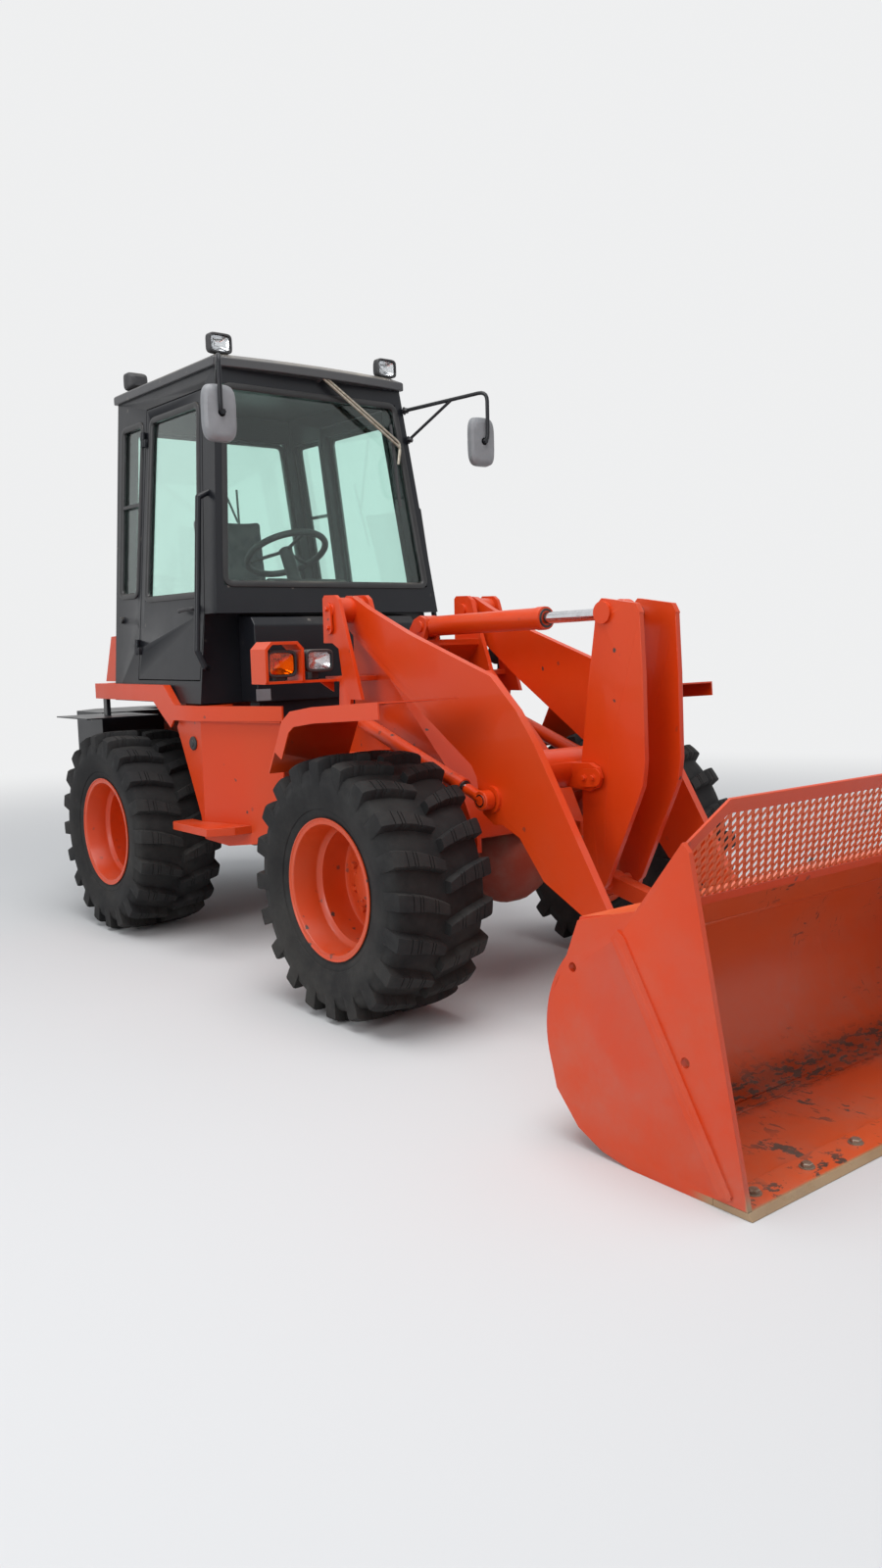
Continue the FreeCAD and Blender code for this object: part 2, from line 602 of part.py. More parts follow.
# Head lamps and turn lamps on the shelves
lamp = box("head_lamp", (shelf_x - 95, shelf_x - 2), (430, 556), (1208, 1296))
lamp_foot = box("head_lamp_foot", (shelf_x - 70, shelf_x - 40), (480, 510), (shelf_z - 9, 1208))
turn = box("turn_lamp", (shelf_x - 80, shelf_x - 10), (590, 722), (1190, 1298))
turn_foot = box("turn_lamp_foot", (shelf_x - 60, shelf_x - 30), (636, 676), (shelf_z - 9, 1190))
lamp_set = [fuse("head_lamp_set", [lamp, lamp_foot]), fuse("turn_lamp_set", [turn, turn_foot])]
node(group("head_lamps_part", lamp_set + [mirrored(f"{piece.Name}_mirrored", piece) for piece in lamp_set]),
     "head_lamps")

# Boom: two thick arms, the tube between them and the bell crank's lugs
arm_inner_y = s.arm_outer_y - s.arm_plate
px, pz = s.boom_pivot_x, s.boom_pivot_z
bx, bz = s.bucket_pin_x, s.bucket_pin_z
ax, az = s.lift_pin_x, s.lift_pin_z
arm_outline = [(px - 55, pz + 18), (px - 42, pz + 42), (px - 16, pz + 58), (px + 20, pz + 54), (83, 1448), (339, 1345),
               (802, 1189), (930, 1075), (1018, 963), (1345, 451),
               (bx + 10, bz + 48), (bx + 46, bz + 16), (bx + 46, bz - 18), (bx + 14, bz - 48), (bx - 20, bz - 46),
               (1258, 405), (1055, 504), (938, 640), (ax + 50, az - 86), (ax + 5, az - 90), (ax - 53, az - 55),
               (ax - 76, az + 20), (ax - 84, az + 70), (ax - 112, az + 112), (249, 1157), (126, 1244), (px + 10, pz - 90),
               (px - 40, pz - 50)]
arm = plate("boom_arm_plate", "xz", arm_outline, arm_inner_y, s.arm_outer_y,
            [(px, pz, s.boom_pin_dia + s.running_gap * 2)])
tube_x = s.crank_x - 150
tube_z = s.crank_z + 20
bucket_pin = rod("boom_bucket_pin", "y", s.pin_dia, (bx, arm_inner_y - 34, bz), s.arm_plate + 68)
lift_face_y = s.lift_y - s.eye_width / 2 - 4 - s.seat_gap
rod_boss = rod("boom_lift_boss", "y", s.boss_dia, (ax, s.arm_outer_y - 4, az), lift_face_y - s.arm_outer_y + 4)
hub_inner_y = s.front_plate_y + s.side_gap
hub_long = s.tower_outer_y - s.tower_plate - s.side_gap - hub_inner_y
pivot_hub = cut("boom_pivot_hub", rod("boom_pivot_tube", "y", s.boom_pin_dia + 50, (px, hub_inner_y, pz), hub_long),
                [rod("boom_pivot_bore", "y", s.boom_pin_dia + s.running_gap * 2, (px, hub_inner_y - 5, pz),
                     hub_long + 10)])
lug_outer_y = s.crank_outer_y + 26
crank_lug = plate("boom_crank_lug", "xz", [(tube_x - 60, tube_z + 20), (s.crank_x, s.crank_z + 48),
                                           (s.crank_x + 34, s.crank_z + 34), (s.crank_x + 48, s.crank_z),
                                           (s.crank_x + 34, s.crank_z - 34), (s.crank_x, s.crank_z - 48),
                                           (tube_x - 50, tube_z - 50)],
                  s.crank_outer_y + 3, lug_outer_y)
boom_side = fuse("boom_side", [arm, pivot_hub, bucket_pin, rod_boss, crank_lug])
cross_tube = rod("boom_cross_tube", "y", s.cross_tube_dia, (tube_x, -arm_inner_y - 5, tube_z), arm_inner_y * 2 + 10)
crank_pin = rod("boom_crank_pin", "y", s.boom_pin_dia, (s.crank_x, -(lug_outer_y + 8), s.crank_z),
                lug_outer_y * 2 + 16)
node(fuse("boom_part", [boom_side, mirrored("boom_side_mirrored", boom_side), cross_tube, crank_pin]), "boom")

# Bell crank: two bent plates on a tube round the boom's pin
cx, cz = s.crank_x, s.crank_z
lx, lz = s.crank_low_x, s.crank_low_z
tx, tz = s.crank_top_x, s.crank_top_z
crank_outline = [(lx - 44, lz - 10), (lx - 20, lz - 44), (lx + 24, lz - 40), (lx + 46, lz - 6), (cx + 55, cz - 60),
                 (cx + 62, cz + 40), (cx + 150, 1180), (1280, 1390), (1262, 1420), (tx - 10, tz + 48),
                 (tx - 44, tz + 16), (tx - 40, tz - 30), (cx - 20, 1180), (cx - 62, cz + 40), (cx - 58, cz - 60)]
crank_side = plate("bell_crank_plate", "xz", crank_outline, s.crank_outer_y - s.crank_plate, s.crank_outer_y,
                   [(cx, cz, s.boom_pin_dia + s.running_gap * 2)])
crank_tube = cut("bell_crank_tube", rod("bell_crank_tube_outer", "y", s.boss_dia,
                                        (cx, -(s.crank_outer_y - 4), cz), s.crank_outer_y * 2 - 8),
                 [rod("bell_crank_tube_bore", "y", s.boom_pin_dia + s.running_gap * 2,
                      (cx, -(s.crank_outer_y + 4), cz), s.crank_outer_y * 2 + 8)])
crank_inner_y = s.crank_outer_y - s.crank_plate
boss_low = rod("bell_crank_boss_low", "y", s.pin_dia + 30, (lx, s.crank_outer_y - 2, lz), 14)
boss_top = rod("bell_crank_boss_top", "y", s.pin_dia + 30, (tx, s.crank_outer_y - 2, tz), 14)
crank_half = fuse("bell_crank_half", [crank_side, boss_low, boss_top])
node(fuse("bell_crank_part", [crank_half, mirrored("bell_crank_half_mirrored", crank_half), crank_tube]),
     "bell_crank")


def bar_between(name, start, end, half_width, low, high):
    """A straight flat link between two pins, seen from the side."""
    (ax, az), (ex, ez) = start, end
    length = hypot(as_value(ex) - as_value(ax), as_value(ez) - as_value(az))
    ux, uz = (as_value(ex) - as_value(ax)) / length, (as_value(ez) - as_value(az)) / length
    outline = [(ax - uz * half_width, az + ux * half_width), (ex - uz * half_width, ez + ux * half_width),
               (ex + uz * half_width, ez - ux * half_width), (ax + uz * half_width, az - ux * half_width)]
    return plate(name, "xz", outline, low, high)


# Bucket link: a bar on the centre line, with a short pin in each eye
link_half_y = 27
link_end = (s.link_pin_x, s.link_pin_z)
link_start = (lx, lz)
link_bar = bar_between("bucket_link_bar", link_start, link_end, 30, -link_half_y, link_half_y)
link_eyes = [rod(f"bucket_link_eye_{label}", "y", s.boss_dia - 15, (ex, -link_half_y, ez), link_half_y * 2)
             for label, (ex, ez) in (("rear", link_start), ("front", link_end))]
link_pins = [rod("bucket_link_pin_rear", "y", s.pin_dia, (lx, -(crank_inner_y - s.side_gap / 2), lz),
                 crank_inner_y * 2 - s.side_gap),
             rod("bucket_link_pin_front", "y", s.pin_dia, (s.link_pin_x, -(link_half_y + 3.5), s.link_pin_z),
                 link_half_y * 2 + 7)]
node(fuse("bucket_link_part", [link_bar] + link_pins + link_eyes), "bucket_link")

# Bucket: a bent shell, two side plates, the hinge brackets and the cutting edge
bucket_inner_half = s.bucket_half - s.bucket_side
shell_points = [(2240, 4), (1985, 4)]
shell_after = [(1771, 497), (1815, 598), (2040, 645)]
edge_line = [Part.LineSegment(Vector(shell_points[0][0], 0, shell_points[0][1]),
                              Vector(shell_points[1][0], 0, shell_points[1][1])).toShape()]
edge_line.append(Part.Arc(Vector(1985, 0, 4), Vector(1723, 0, 160), Vector(1771, 0, 497)).toShape())
for (ax, az), (ex, ez) in zip(shell_after, shell_after[1:]):
    edge_line.append(Part.LineSegment(Vector(ax, 0, az), Vector(ex, 0, ez)).toShape())
shell_band = Part.Wire(edge_line).makeOffset2D(float(s.bucket_plate), 2, True, True, True)
shell = shell_band.extrude(Vector(0, float(bucket_inner_half) * 2 + 2, 0))
shell.translate(Vector(0, -float(bucket_inner_half) - 1, 0))
bucket_shell = shaped("bucket_shell", shell)
side_outline = [(2338, 19), (2240, 19), (2240, 0), (1985, 0), (1890, 16), (1806, 55), (1728, 140), (1698, 250), (1708, 371), (1765, 490),
                (1812, 602), (2007, 656), (2151, 840), (2170, 818)]
bucket_side_plate = plate("bucket_side_plate", "xz", side_outline, bucket_inner_half, s.bucket_half,
                          [(1792, 476, 26), (2159, 320, 26)])
side_rib = plate("bucket_side_rib", "xz", [(1942, 577), (1956, 585), (2296, 35), (2282, 27)], s.bucket_half - 1,
                 s.bucket_half + 6)
BRACKETS = [("outer", s.arm_outer_y + 5, s.arm_outer_y + 27), ("inner", arm_inner_y - 27, arm_inner_y - 5)]
bracket_outline = [(bx - 48, bz), (bx - 34, bz - 34), (bx, bz - 48), (1760, 92), (1712, 250), (1730, 400),
                   (1640, 330), (bx - 30, bz + 38)]
pin_hole = [(bx, bz, s.pin_dia + s.running_gap * 2)]
brackets = [plate(f"bucket_bracket_{label}", "xz", bracket_outline, low, high, pin_hole)
            for label, low, high in BRACKETS]
link_lug = plate("bucket_link_lug", "xz", [(s.link_pin_x - 44, s.link_pin_z), (s.link_pin_x - 10, s.link_pin_z - 44),
                                           (1712, 250), (1775, 480), (s.link_pin_x - 6, s.link_pin_z + 46),
                                           (s.link_pin_x - 36, s.link_pin_z + 30)],
                 link_half_y + 4, link_half_y + 26)
bucket_half_set = fuse("bucket_half_set", [bucket_side_plate, side_rib, link_lug] + brackets)
node(fuse("bucket_part", [bucket_shell, bucket_half_set, mirrored("bucket_half_set_mirrored", bucket_half_set)]),
     "bucket")
node(plate("bucket_blade", "xz", [(s.bucket_lip_x, 0), (2240, 0), (2240, 18), (s.bucket_lip_x - 12, 18)],
           -s.bucket_half, s.bucket_half), "bucket_edge")

# Spill guard: a mesh panel in a flat-bar frame above the bucket's back
guard_foot, guard_head = (2040, 649.5), (2186, 934.5)
guard_half = bucket_inner_half - 2
guard_face = [(-guard_half, 0), (guard_half, 0), (guard_half, 195), (808, 320), (-808, 320), (-guard_half, 195)]
guard_window = [(-880, 28), (880, 28), (880, 180), (790, 282), (-790, 282), (-880, 180)]
GUARD_COLUMNS = 22
guard_panel = Part.Face(wire([(0, as_value(a), b) for a, b in guard_face]))
guard_open = Part.Face(wire([(-1, a, b) for a, b in guard_window])).extrude(Vector(20, 0, 0))
guard_shape = guard_panel.extrude(Vector(float(s.guard_plate), 0, 0)).cut(guard_open)
bars = []
for count in range(1, GUARD_COLUMNS):
    across = -880 + 1760 * count / GUARD_COLUMNS
    top = 300 if abs(across) < 795 else 200
    bars.append(Part.makeBox(3, 5, top - 20, Vector(3, across - 2.5, 20)))
for level in (90, 160, 230):
    reach = 885 if level < 180 else 835
    bars.append(Part.makeBox(3, 2 * reach, 5, Vector(3, -reach, level)))
guard_shape = guard_shape.fuse(bars)
guard = shaped("spill_guard_panel", guard_shape)
guard_tilt = degrees(atan2(guard_head[0] - guard_foot[0], guard_head[1] - guard_foot[1]))
guard.Placement = Placement(Vector(guard_foot[0], 0, guard_foot[1]), Rotation(Vector(0, 1, 0), guard_tilt))
node(guard, "spill_guard")


# Cylinders: a barrel on its base pin, and a rod whose eye lies at the far pin
PISTON, GLAND = 20, 30


def cylinder(label, base, far, eye_axis, barrel_dia, rod_dia, barrel_length, base_pin, drawn_in):
    """Barrel and rod from a base pin to a far pin; the rod can still be drawn in by the last value."""
    run = Vector(*[as_value(b) - as_value(a) for a, b in zip(base, far)])
    wide = float(s.eye_width)
    barrel_r = as_value(barrel_dia) / 2
    eye_r = barrel_r + 4
    bore_r = barrel_r - float(s.bore_wall)
    rod_r = as_value(rod_dia) / 2
    reach = as_value(barrel_length)
    piston_at = eye_r + 15 + drawn_in
    along, cross = Vector(1, 0, 0), Vector(0, 1, 0)
    half = Vector(0, -wide / 2, 0)
    slack = float(s.running_gap)
    start = eye_r + 8
    barrel = Part.makeCylinder(barrel_r, reach - start, Vector(start, 0, 0), along)
    neck = Part.makeBox(start + 2, wide, 1.3 * eye_r, Vector(0, -wide / 2, -0.65 * eye_r))
    barrel = barrel.fuse([Part.makeCylinder(eye_r, wide, half, cross), neck,
                          Part.makeCylinder(barrel_r + 2, GLAND, Vector(reach - GLAND, 0, 0), along)])
    bore = Part.makeCylinder(bore_r, reach - GLAND - start - 6, Vector(start + 6, 0, 0), along)
    barrel = barrel.cut([bore, Part.makeCylinder(rod_r + slack, 2 * GLAND, Vector(reach - GLAND - 5, 0, 0), along),
                         Part.makeCylinder(as_value(base_pin) / 2 + slack, wide * 2, half * 2, cross)])
    stem = Part.makeCylinder(rod_r, run.Length - piston_at - eye_r / 2, Vector(piston_at, 0, 0), along)
    stem = stem.fuse([Part.makeCylinder(eye_r, wide, Vector(run.Length, -wide / 2, 0), cross),
                      Part.makeCylinder(bore_r - 1, PISTON, Vector(piston_at, 0, 0), along)])
    turn = Rotation(run, eye_axis, Vector(), "XYZ")
    made = []
    for piece, shape in (("barrel", barrel), ("rod", stem)):
        obj = shaped(f"{label}_{piece}_form", shape)
        obj.Placement = Placement(Vector(*[as_value(c) for c in base]), turn)
        made.append(obj)
    return made


tilt_barrel, tilt_rod = cylinder("tilt", (s.tilt_base_x, 0, s.tilt_base_z), (tx, 0, tz), Vector(0, 1, 0),
                                 s.tilt_barrel_dia, s.tilt_rod_dia, s.tilt_barrel_length, s.pin_dia, 215)
tilt_pin_form = rod("tilt_rod_pin", "y", s.pin_dia, (tx, -(crank_inner_y - s.side_gap / 2), tz),
                    crank_inner_y * 2 - s.side_gap)
node(tilt_barrel, "tilt_barrel")
node(fuse("tilt_rod_part", [tilt_rod, tilt_pin_form]), "tilt_rod")
for side, across in (("left", s.lift_y), ("right", -s.lift_y)):
    lift_barrel, lift_rod = cylinder(f"lift_{side}", (s.lift_base_x, across, s.lift_base_z),
                                     (s.lift_pin_x, across, s.lift_pin_z), Vector(0, 1, 0), s.lift_barrel_dia,
                                     s.lift_rod_dia, s.lift_barrel_length, s.pin_dia, 3)
    pin_head = rod(f"lift_{side}_pin_head", "y", s.pin_dia, (s.lift_pin_x, across - s.eye_width / 2 - 4, s.lift_pin_z),
                   s.eye_width + 8)
    node(lift_barrel, f"lift_barrel_{side}")
    node(fuse(f"lift_rod_{side}_part", [lift_rod, pin_head]), f"lift_rod_{side}")
steer_base = (hinge_x + s.steer_base_x, s.steer_base_y, s.steer_z)
steer_barrel, steer_rod = cylinder("steer", steer_base, steer_eye, Vector(0, 0, 1), s.steer_barrel_dia,
                                   s.steer_rod_dia, 385, s.steer_pin_dia, 135)
steer_pin = rod("steer_rod_pin", "z", s.steer_pin_dia, (steer_eye[0], steer_eye[1], steer_eye[2] - 22), 44)
node(steer_barrel, "steer_barrel")
node(fuse("steer_rod_part", [steer_rod, steer_pin]), "steer_rod")

# Rear frame: chassis plates, fork at the hinge, cab risers, tank carriers
rear_front_x = hinge_x - 150
frame_back_x = s.rear_end_x + 190
rear_outline = [(rear_front_x, 520), (rear_front_x, 925), (frame_back_x, 925), (frame_back_x, 600),
                (rear_axle_x - 300, pad_top_z), (rear_axle_x + 300, pad_top_z), (rear_axle_x + 420, 520)]
rear_plate = plate("rear_chassis_plate", "xz", rear_outline, s.rear_plate_y - s.frame_plate, s.rear_plate_y)
CARRIERS = [("front", -820, 600), ("back", -940, 820)]
carriers = [box(f"tank_carrier_{label}", (place, place + 50), (s.rear_plate_y - 5, s.tank_inner_y),
                (height, height + 60)) for label, place, height in CARRIERS]
RISERS = [("front", -800), ("back", -1600)]
risers = [box(f"cab_riser_{label}", (place, place + 80), (170, s.rear_plate_y + 60), (925, s.cab_floor_z))
          for label, place in RISERS]
rear_half = fuse("rear_frame_half", [rear_plate] + carriers + risers)
rear_inner_y = s.rear_plate_y - s.frame_plate
fork_outline = [(hinge_x, 60), (hinge_x + 42, 42), (hinge_x + 60, 0), (hinge_x + 42, -42), (hinge_x, -60),
                (rear_front_x, -150), (rear_front_x, 150)]
forks = []
for label, height in TONGUES:
    for level, low in (("upper", height + s.side_gap), ("lower", height - tongue_thick - s.side_gap - 25)):
        forks.append(plate(f"fork_{label}_{level}", "xy", fork_outline, low, low + 25))
    forks.append(rod(f"hinge_pin_{label}", "z", s.hinge_pin_dia,
                     (hinge_x, 0, height - tongue_thick - s.side_gap - 40), tongue_thick + s.side_gap * 2 + 72))
crosses = [box(f"rear_cross_{label}", (rear_front_x - 25, rear_front_x), (-rear_inner_y, rear_inner_y), (low, high))
           for label, low, high in (("low", 480, 600), ("high", 820, 925))]
crosses += [box(f"steer_lug_{label}", (steer_base[0] - 40, steer_base[0] + 30), (-rear_inner_y - 5, steer_base[1] + 38),
                (low, low + 16)) for label, low in (("low", s.steer_z - 40), ("high", s.steer_z + 23))]
crosses.append(rod("steer_base_pin", "z", s.steer_pin_dia, (steer_base[0], steer_base[1], s.steer_z - 46), 92))
crosses += [
           box("rear_cross_back", (frame_back_x, frame_back_x + 25), (-rear_inner_y, rear_inner_y), (600, 925))]
node(fuse("rear_frame_part", [rear_half, mirrored("rear_frame_half_mirrored", rear_half)] + forks + crosses),
     "rear_frame")

# Body sides: fender and tank in one bent panel on each side
panel_inner_y = s.panel_y - s.panel_plate
band_outer_y = s.panel_y + s.band_reach
band_inner_y = band_outer_y - s.panel_plate - 2
band_low_z = s.band_z - 60
side_slope = s.side_taper / (s.side_front_x - s.side_bend_x)


def bent_strip(name, rear_x, front_x, outer_y, deep, low, high):
    """A strip along the side, seen from above: straight to the bend, then in towards the front."""
    come_in = (front_x - s.side_bend_x) * side_slope
    inner_y = outer_y - deep
    outline = [(rear_x, inner_y), (rear_x, outer_y), (s.side_bend_x, outer_y), (front_x, outer_y - come_in),
               (front_x, inner_y - come_in), (s.side_bend_x, inner_y)]
    return plate(name, "xy", outline, low, high)


def side_sheet(name, outline, rear_x, front_x, outer_y, deep):
    """A bent sheet with the given outline in side view."""
    face = plate(f"{name}_face", "xz", outline, 300, s.panel_y + 100)
    return common(name, [face, bent_strip(f"{name}_strip", rear_x, front_x, outer_y, deep, 400, 1300)])


skirt_outline = [(-1790, s.fender_z), (-1030, s.fender_z), (-930, s.band_z), (s.side_front_x, s.band_z + 5),
                 (s.side_front_x, band_low_z + 4), (-944, band_low_z - 6), (-975, 965), (-1050, 1015),
                 (-1140, 1078), (-1790, 1078)]
skirt = side_sheet("body_side_skirt", skirt_outline, -1800, s.side_front_x, band_outer_y, band_outer_y - band_inner_y)
panel_front_x = s.side_front_x - 20
panel_outline = [(-975, 966), (-945, band_low_z), (panel_front_x, band_low_z), (panel_front_x - 45, s.tank_bottom_z),
                 (-620, s.tank_bottom_z - 36), (-760, s.tank_bottom_z - 14), (-785, 586)]
side_panel = side_sheet("body_side_panel", panel_outline, -990, panel_front_x, s.panel_y, s.panel_plate)
ledge = bent_strip("body_side_ledge", -944, panel_front_x, band_inner_y + 1, band_inner_y + 1 - panel_inner_y,
                   band_low_z - 6, band_low_z + 2)
top_flange = bent_strip("body_side_top_flange", -760, -400, band_inner_y + 1, 40, s.band_z - 6, s.band_z)
tank_outline = [(-930, 990), (s.side_bend_x, 990), (s.side_bend_x, s.tank_bottom_z - 12),
                (s.side_bend_x - 5, s.tank_bottom_z - 10), (-780, 586)]
tank = plate("side_tank_block", "xz", tank_outline, s.tank_inner_y, panel_inner_y + 1)
fender_tops = [plate("rear_fender_top_back", "xz", [(-1790, s.fender_z - 6), (-1790, s.fender_z), (-1650, s.fender_z),
                                                    (-1650, s.fender_z - 6)], s.hood_half, band_inner_y + 1),
               plate("rear_fender_top_side", "xz", [(-1650, s.fender_z - 6), (-1650, s.fender_z), (-1030, s.fender_z),
                                                    (-930, s.band_z), (-930, s.band_z - 6), (-1033, s.fender_z - 6)],
                     s.cab_base_half + 2, band_inner_y + 1),
               plate("rear_fender_top_front", "xz", [(-930, s.band_z - 6), (-930, s.band_z), (s.side_bend_x, s.band_z),
                                                     (s.side_bend_x, s.band_z - 6)], s.hood_half, band_inner_y + 1)]
node(both("body_sides_part", fuse("body_side", [skirt, side_panel, ledge, top_flange, tank] + fender_tops)),
     "body_sides")

step_front_x = -490
step_in_y = s.panel_y - (step_front_x - s.side_bend_x) * side_slope
step = plate("tank_step_plate", "xy", [(-868, s.panel_y), (-868, s.panel_y + s.step_reach - 14),
                                       (-850, s.panel_y + s.step_reach), (-540, s.panel_y + s.step_reach),
                                       (step_front_x, s.panel_y), (step_front_x, step_in_y),
                                       (s.side_bend_x, s.panel_y)], s.step_z - 34, s.step_z)
node(both("tank_steps_part", step), "tank_steps")
guard_plate = box("mudguard_plate", (-1880, -1500), (panel_inner_y - 160, 842), (990, 996))
guard_strut = box("mudguard_strut", (-1720, -1680), (band_inner_y - 20, band_inner_y), (996, 1120))
node(both("mudguards_part", fuse("mudguard", [guard_plate, guard_strut])), "mudguards")

# Engine, counterweight
engine = [box("engine_mass", (-2080, -1700), (-200, 200), (640, 1130))]
engine += [box(f"engine_foot_{label}", (place, place + 60), (-rear_inner_y, rear_inner_y), (760, 800))
           for label, place in (("front", -1780), ("back", -2040))]
node(fuse("engine_part", engine), "engine_block")
weight_outline = [(-1900, s.weight_half), (-2230, s.weight_half), (s.rear_end_x, s.weight_half - 150),
                  (s.rear_end_x, -s.weight_half + 150), (-2230, -s.weight_half), (-1900, -s.weight_half),
                  (-1900, -s.rear_plate_y - 2), (frame_back_x, -s.rear_plate_y - 2),
                  (frame_back_x, s.rear_plate_y + 2), (-1900, s.rear_plate_y + 2)]
weight_block = plate("counterweight_block", "xy", weight_outline, s.weight_bottom_z, s.weight_top_z)
hitch_slot = box("hitch_slot", (s.rear_end_x - 5, s.rear_end_x + 130), (-70, 70), (560, 660))
hitch_bore = rod("hitch_bore", "z", s.hitch_pin_dia, (s.rear_end_x + 60, 0, s.weight_bottom_z - 5), 700)
node(cut("counterweight_part", weight_block, [hitch_slot, hitch_bore]), "counterweight")

# Cab: straight walls that all lean inwards
CAB = {name: float(getattr(s, name)) for name in
       ("cab_floor_z", "cab_sill_z", "cab_belt_z", "cab_top_z", "cab_base_half", "cab_lean_side", "cab_lean_front",
        "cab_lean_rear", "cab_front_x", "cab_foot_x", "cab_rear_x", "cab_wall")}


def side_at(z):
    return CAB["cab_base_half"] - CAB["cab_lean_side"] * (z - CAB["cab_floor_z"])


def front_at(z):
    return CAB["cab_front_x"] - CAB["cab_lean_front"] * (z - CAB["cab_belt_z"])


def rear_at(z):
    return CAB["cab_rear_x"] - CAB["cab_lean_rear"] * (z - CAB["cab_floor_z"])


# Hood over the engine: a bent sheet hinged at the cab, with the grille in its tail
hood_front_x = s.cab_rear_x - s.hood_gap - 24
hood_low_z = s.fender_z + 0.3
hood_line = [(hood_front_x, s.hood_z), (hood_front_x - 330, s.hood_z - 12), (-2105, hood_low_z)]


def hood_block(inset):
    """The hood's outer form, made smaller by a wall on every side but its foot."""
    half = as_value(s.hood_half) - inset
    shape = [(as_value(hood_front_x) - inset, as_value(hood_low_z) - 1 * (inset > 0)),
             (as_value(hood_front_x) - inset, as_value(s.hood_z) - inset),
             (as_value(hood_front_x) - 330 + inset * 0.4, as_value(s.hood_z) - 12 - inset),
             (-2105 + inset * 1.2, as_value(hood_low_z) - 1 * (inset > 0))]
    face = Part.Face(wire([(x, -half, z) for x, z in shape]))
    return face.extrude(Vector(0, 2 * half, 0))


hood_shell = hood_block(0).cut(hood_block(float(s.hood_wall)))
grille_hole = Part.makeBox(400, 640, 150, Vector(-2200, -320, 1190))
HOOD_HINGE_Y = 330
hood_hinge = Vector(as_value(hood_front_x) + 2, 0, as_value(s.hood_z) + 4)
hinge_pin_r = 6.0


def hood_knuckle(side):
    """The bored knuckle on the hood's front edge."""
    start = hood_hinge + Vector(0, side * HOOD_HINGE_Y - 25, 0)
    return Part.makeCylinder(11, 50, start, Vector(0, 1, 0))


def hood_lug(side):
    """Two ears and a pin that carry the knuckle, on the cab's rear wall."""
    start = hood_hinge + Vector(0, side * HOOD_HINGE_Y - 25, 0)
    reach = rear_at(hood_hinge.z) + 1 - hood_hinge.x
    ears = []
    for place in (-9, 51):
        at = start + Vector(0, place, 0)
        ears.append(Part.makeCylinder(11, 8, at, Vector(0, 1, 0)))
        ears.append(Part.makeBox(reach, 8, 18, at + Vector(0, 0, -9)))
    return ears[0].fuse(ears[1:] + [Part.makeCylinder(hinge_pin_r, 64, start + Vector(0, -7, 0), Vector(0, 1, 0))])


hood_bore = Part.makeCylinder(hinge_pin_r + float(s.running_gap), 1200, hood_hinge - Vector(0, 600, 0), Vector(0, 1, 0))
hood_body = hood_shell.cut(grille_hole).fuse([hood_knuckle(side) for side in (1, -1)])
lug_rooms = [Part.makeBox(30, 20, 60, hood_hinge + Vector(-15, side * HOOD_HINGE_Y + place, -28))
             for side in (1, -1) for place in (-45, 25)]
hood = shaped("hood_sheet", hood_body.cut([hood_bore] + lug_rooms))
node(hood, "engine_hood")
slats = []
hood_tail = [(-2105, hood_low_z), (hood_front_x - 330, s.hood_z - 12)]
tail_run = (as_value(hood_tail[1][0]) + 2105) / (as_value(hood_tail[1][1]) - as_value(hood_low_z))


def tail_at(z):
    """The sloping tail of the hood, at a height."""
    return -2105 + tail_run * (z - as_value(hood_low_z))


for count in range(6):
    level = 1196 + count * 24
    slats.append((tail_at(level) + 4, level))
grille_pieces = [box(f"grille_slat_{count}", (place, place + 12), (-312, 312), (level, level + 12))
                 for count, (place, level) in enumerate(slats)]
grille_posts = [plate(f"grille_post_{label}", "xz", [(tail_at(low_z) + 2, low_z), (tail_at(high_z) + 2, high_z),
                                                     (tail_at(high_z) + 24, high_z), (tail_at(low_z) + 24, low_z)],
                      low, low + 10) for label, low, low_z, high_z in
                (("left", 309.7, 1190.3, 1339.7), ("middle", -5, 1190.3, 1339.7), ("right", -319.7, 1190.3, 1339.7))]
node(fuse("rear_grille_part", grille_pieces + grille_posts), "rear_grille")

def cab_solid(low, high, inset=0.0):
    """The cab's outer form between two heights, each wall set in by the inset."""
    sections = []
    for z in (low, high):
        half, front, rear = side_at(z) - inset, front_at(z) - inset, rear_at(z) + inset
        sections.append([(rear, -half, z), (front, -half, z), (front, half, z), (rear, half, z)])
    return loft(sections)


floor_z, belt_z, top_z = CAB["cab_floor_z"], CAB["cab_belt_z"], CAB["cab_top_z"]
wall = CAB["cab_wall"]
foot_cut = Part.makeBox(600, 1600, belt_z - floor_z + 1, Vector(CAB["cab_foot_x"], -800, floor_z - 1))
room_cut = Part.makeBox(600, 1600, belt_z - floor_z + 1 + wall, Vector(CAB["cab_foot_x"] - wall, -800, floor_z - 1))
cab_outer = cab_solid(floor_z, top_z).cut(foot_cut)
room_low = cab_solid(floor_z + 45, belt_z + wall, wall).cut(room_cut)
room_high = cab_solid(belt_z + wall - 1, top_z + 1, wall)
cab_walls = cab_outer.cut(room_low).cut(room_high)


def side_prism(points, low, high):
    """A closed outline in side view, spread between two values of Y."""
    return Part.Face(wire([(x, low, z) for x, z in points])).extrude(Vector(0, high - low, 0))


def between_sides(inset):
    """The space between the two side walls, set in from their outer faces and open to front and rear."""
    sections = []
    for z in (floor_z - 1, top_z + 1):
        half = side_at(z) - inset
        sections.append([(-2000, -half, z), (0, -half, z), (0, half, z), (-2000, half, z)])
    return loft(sections)


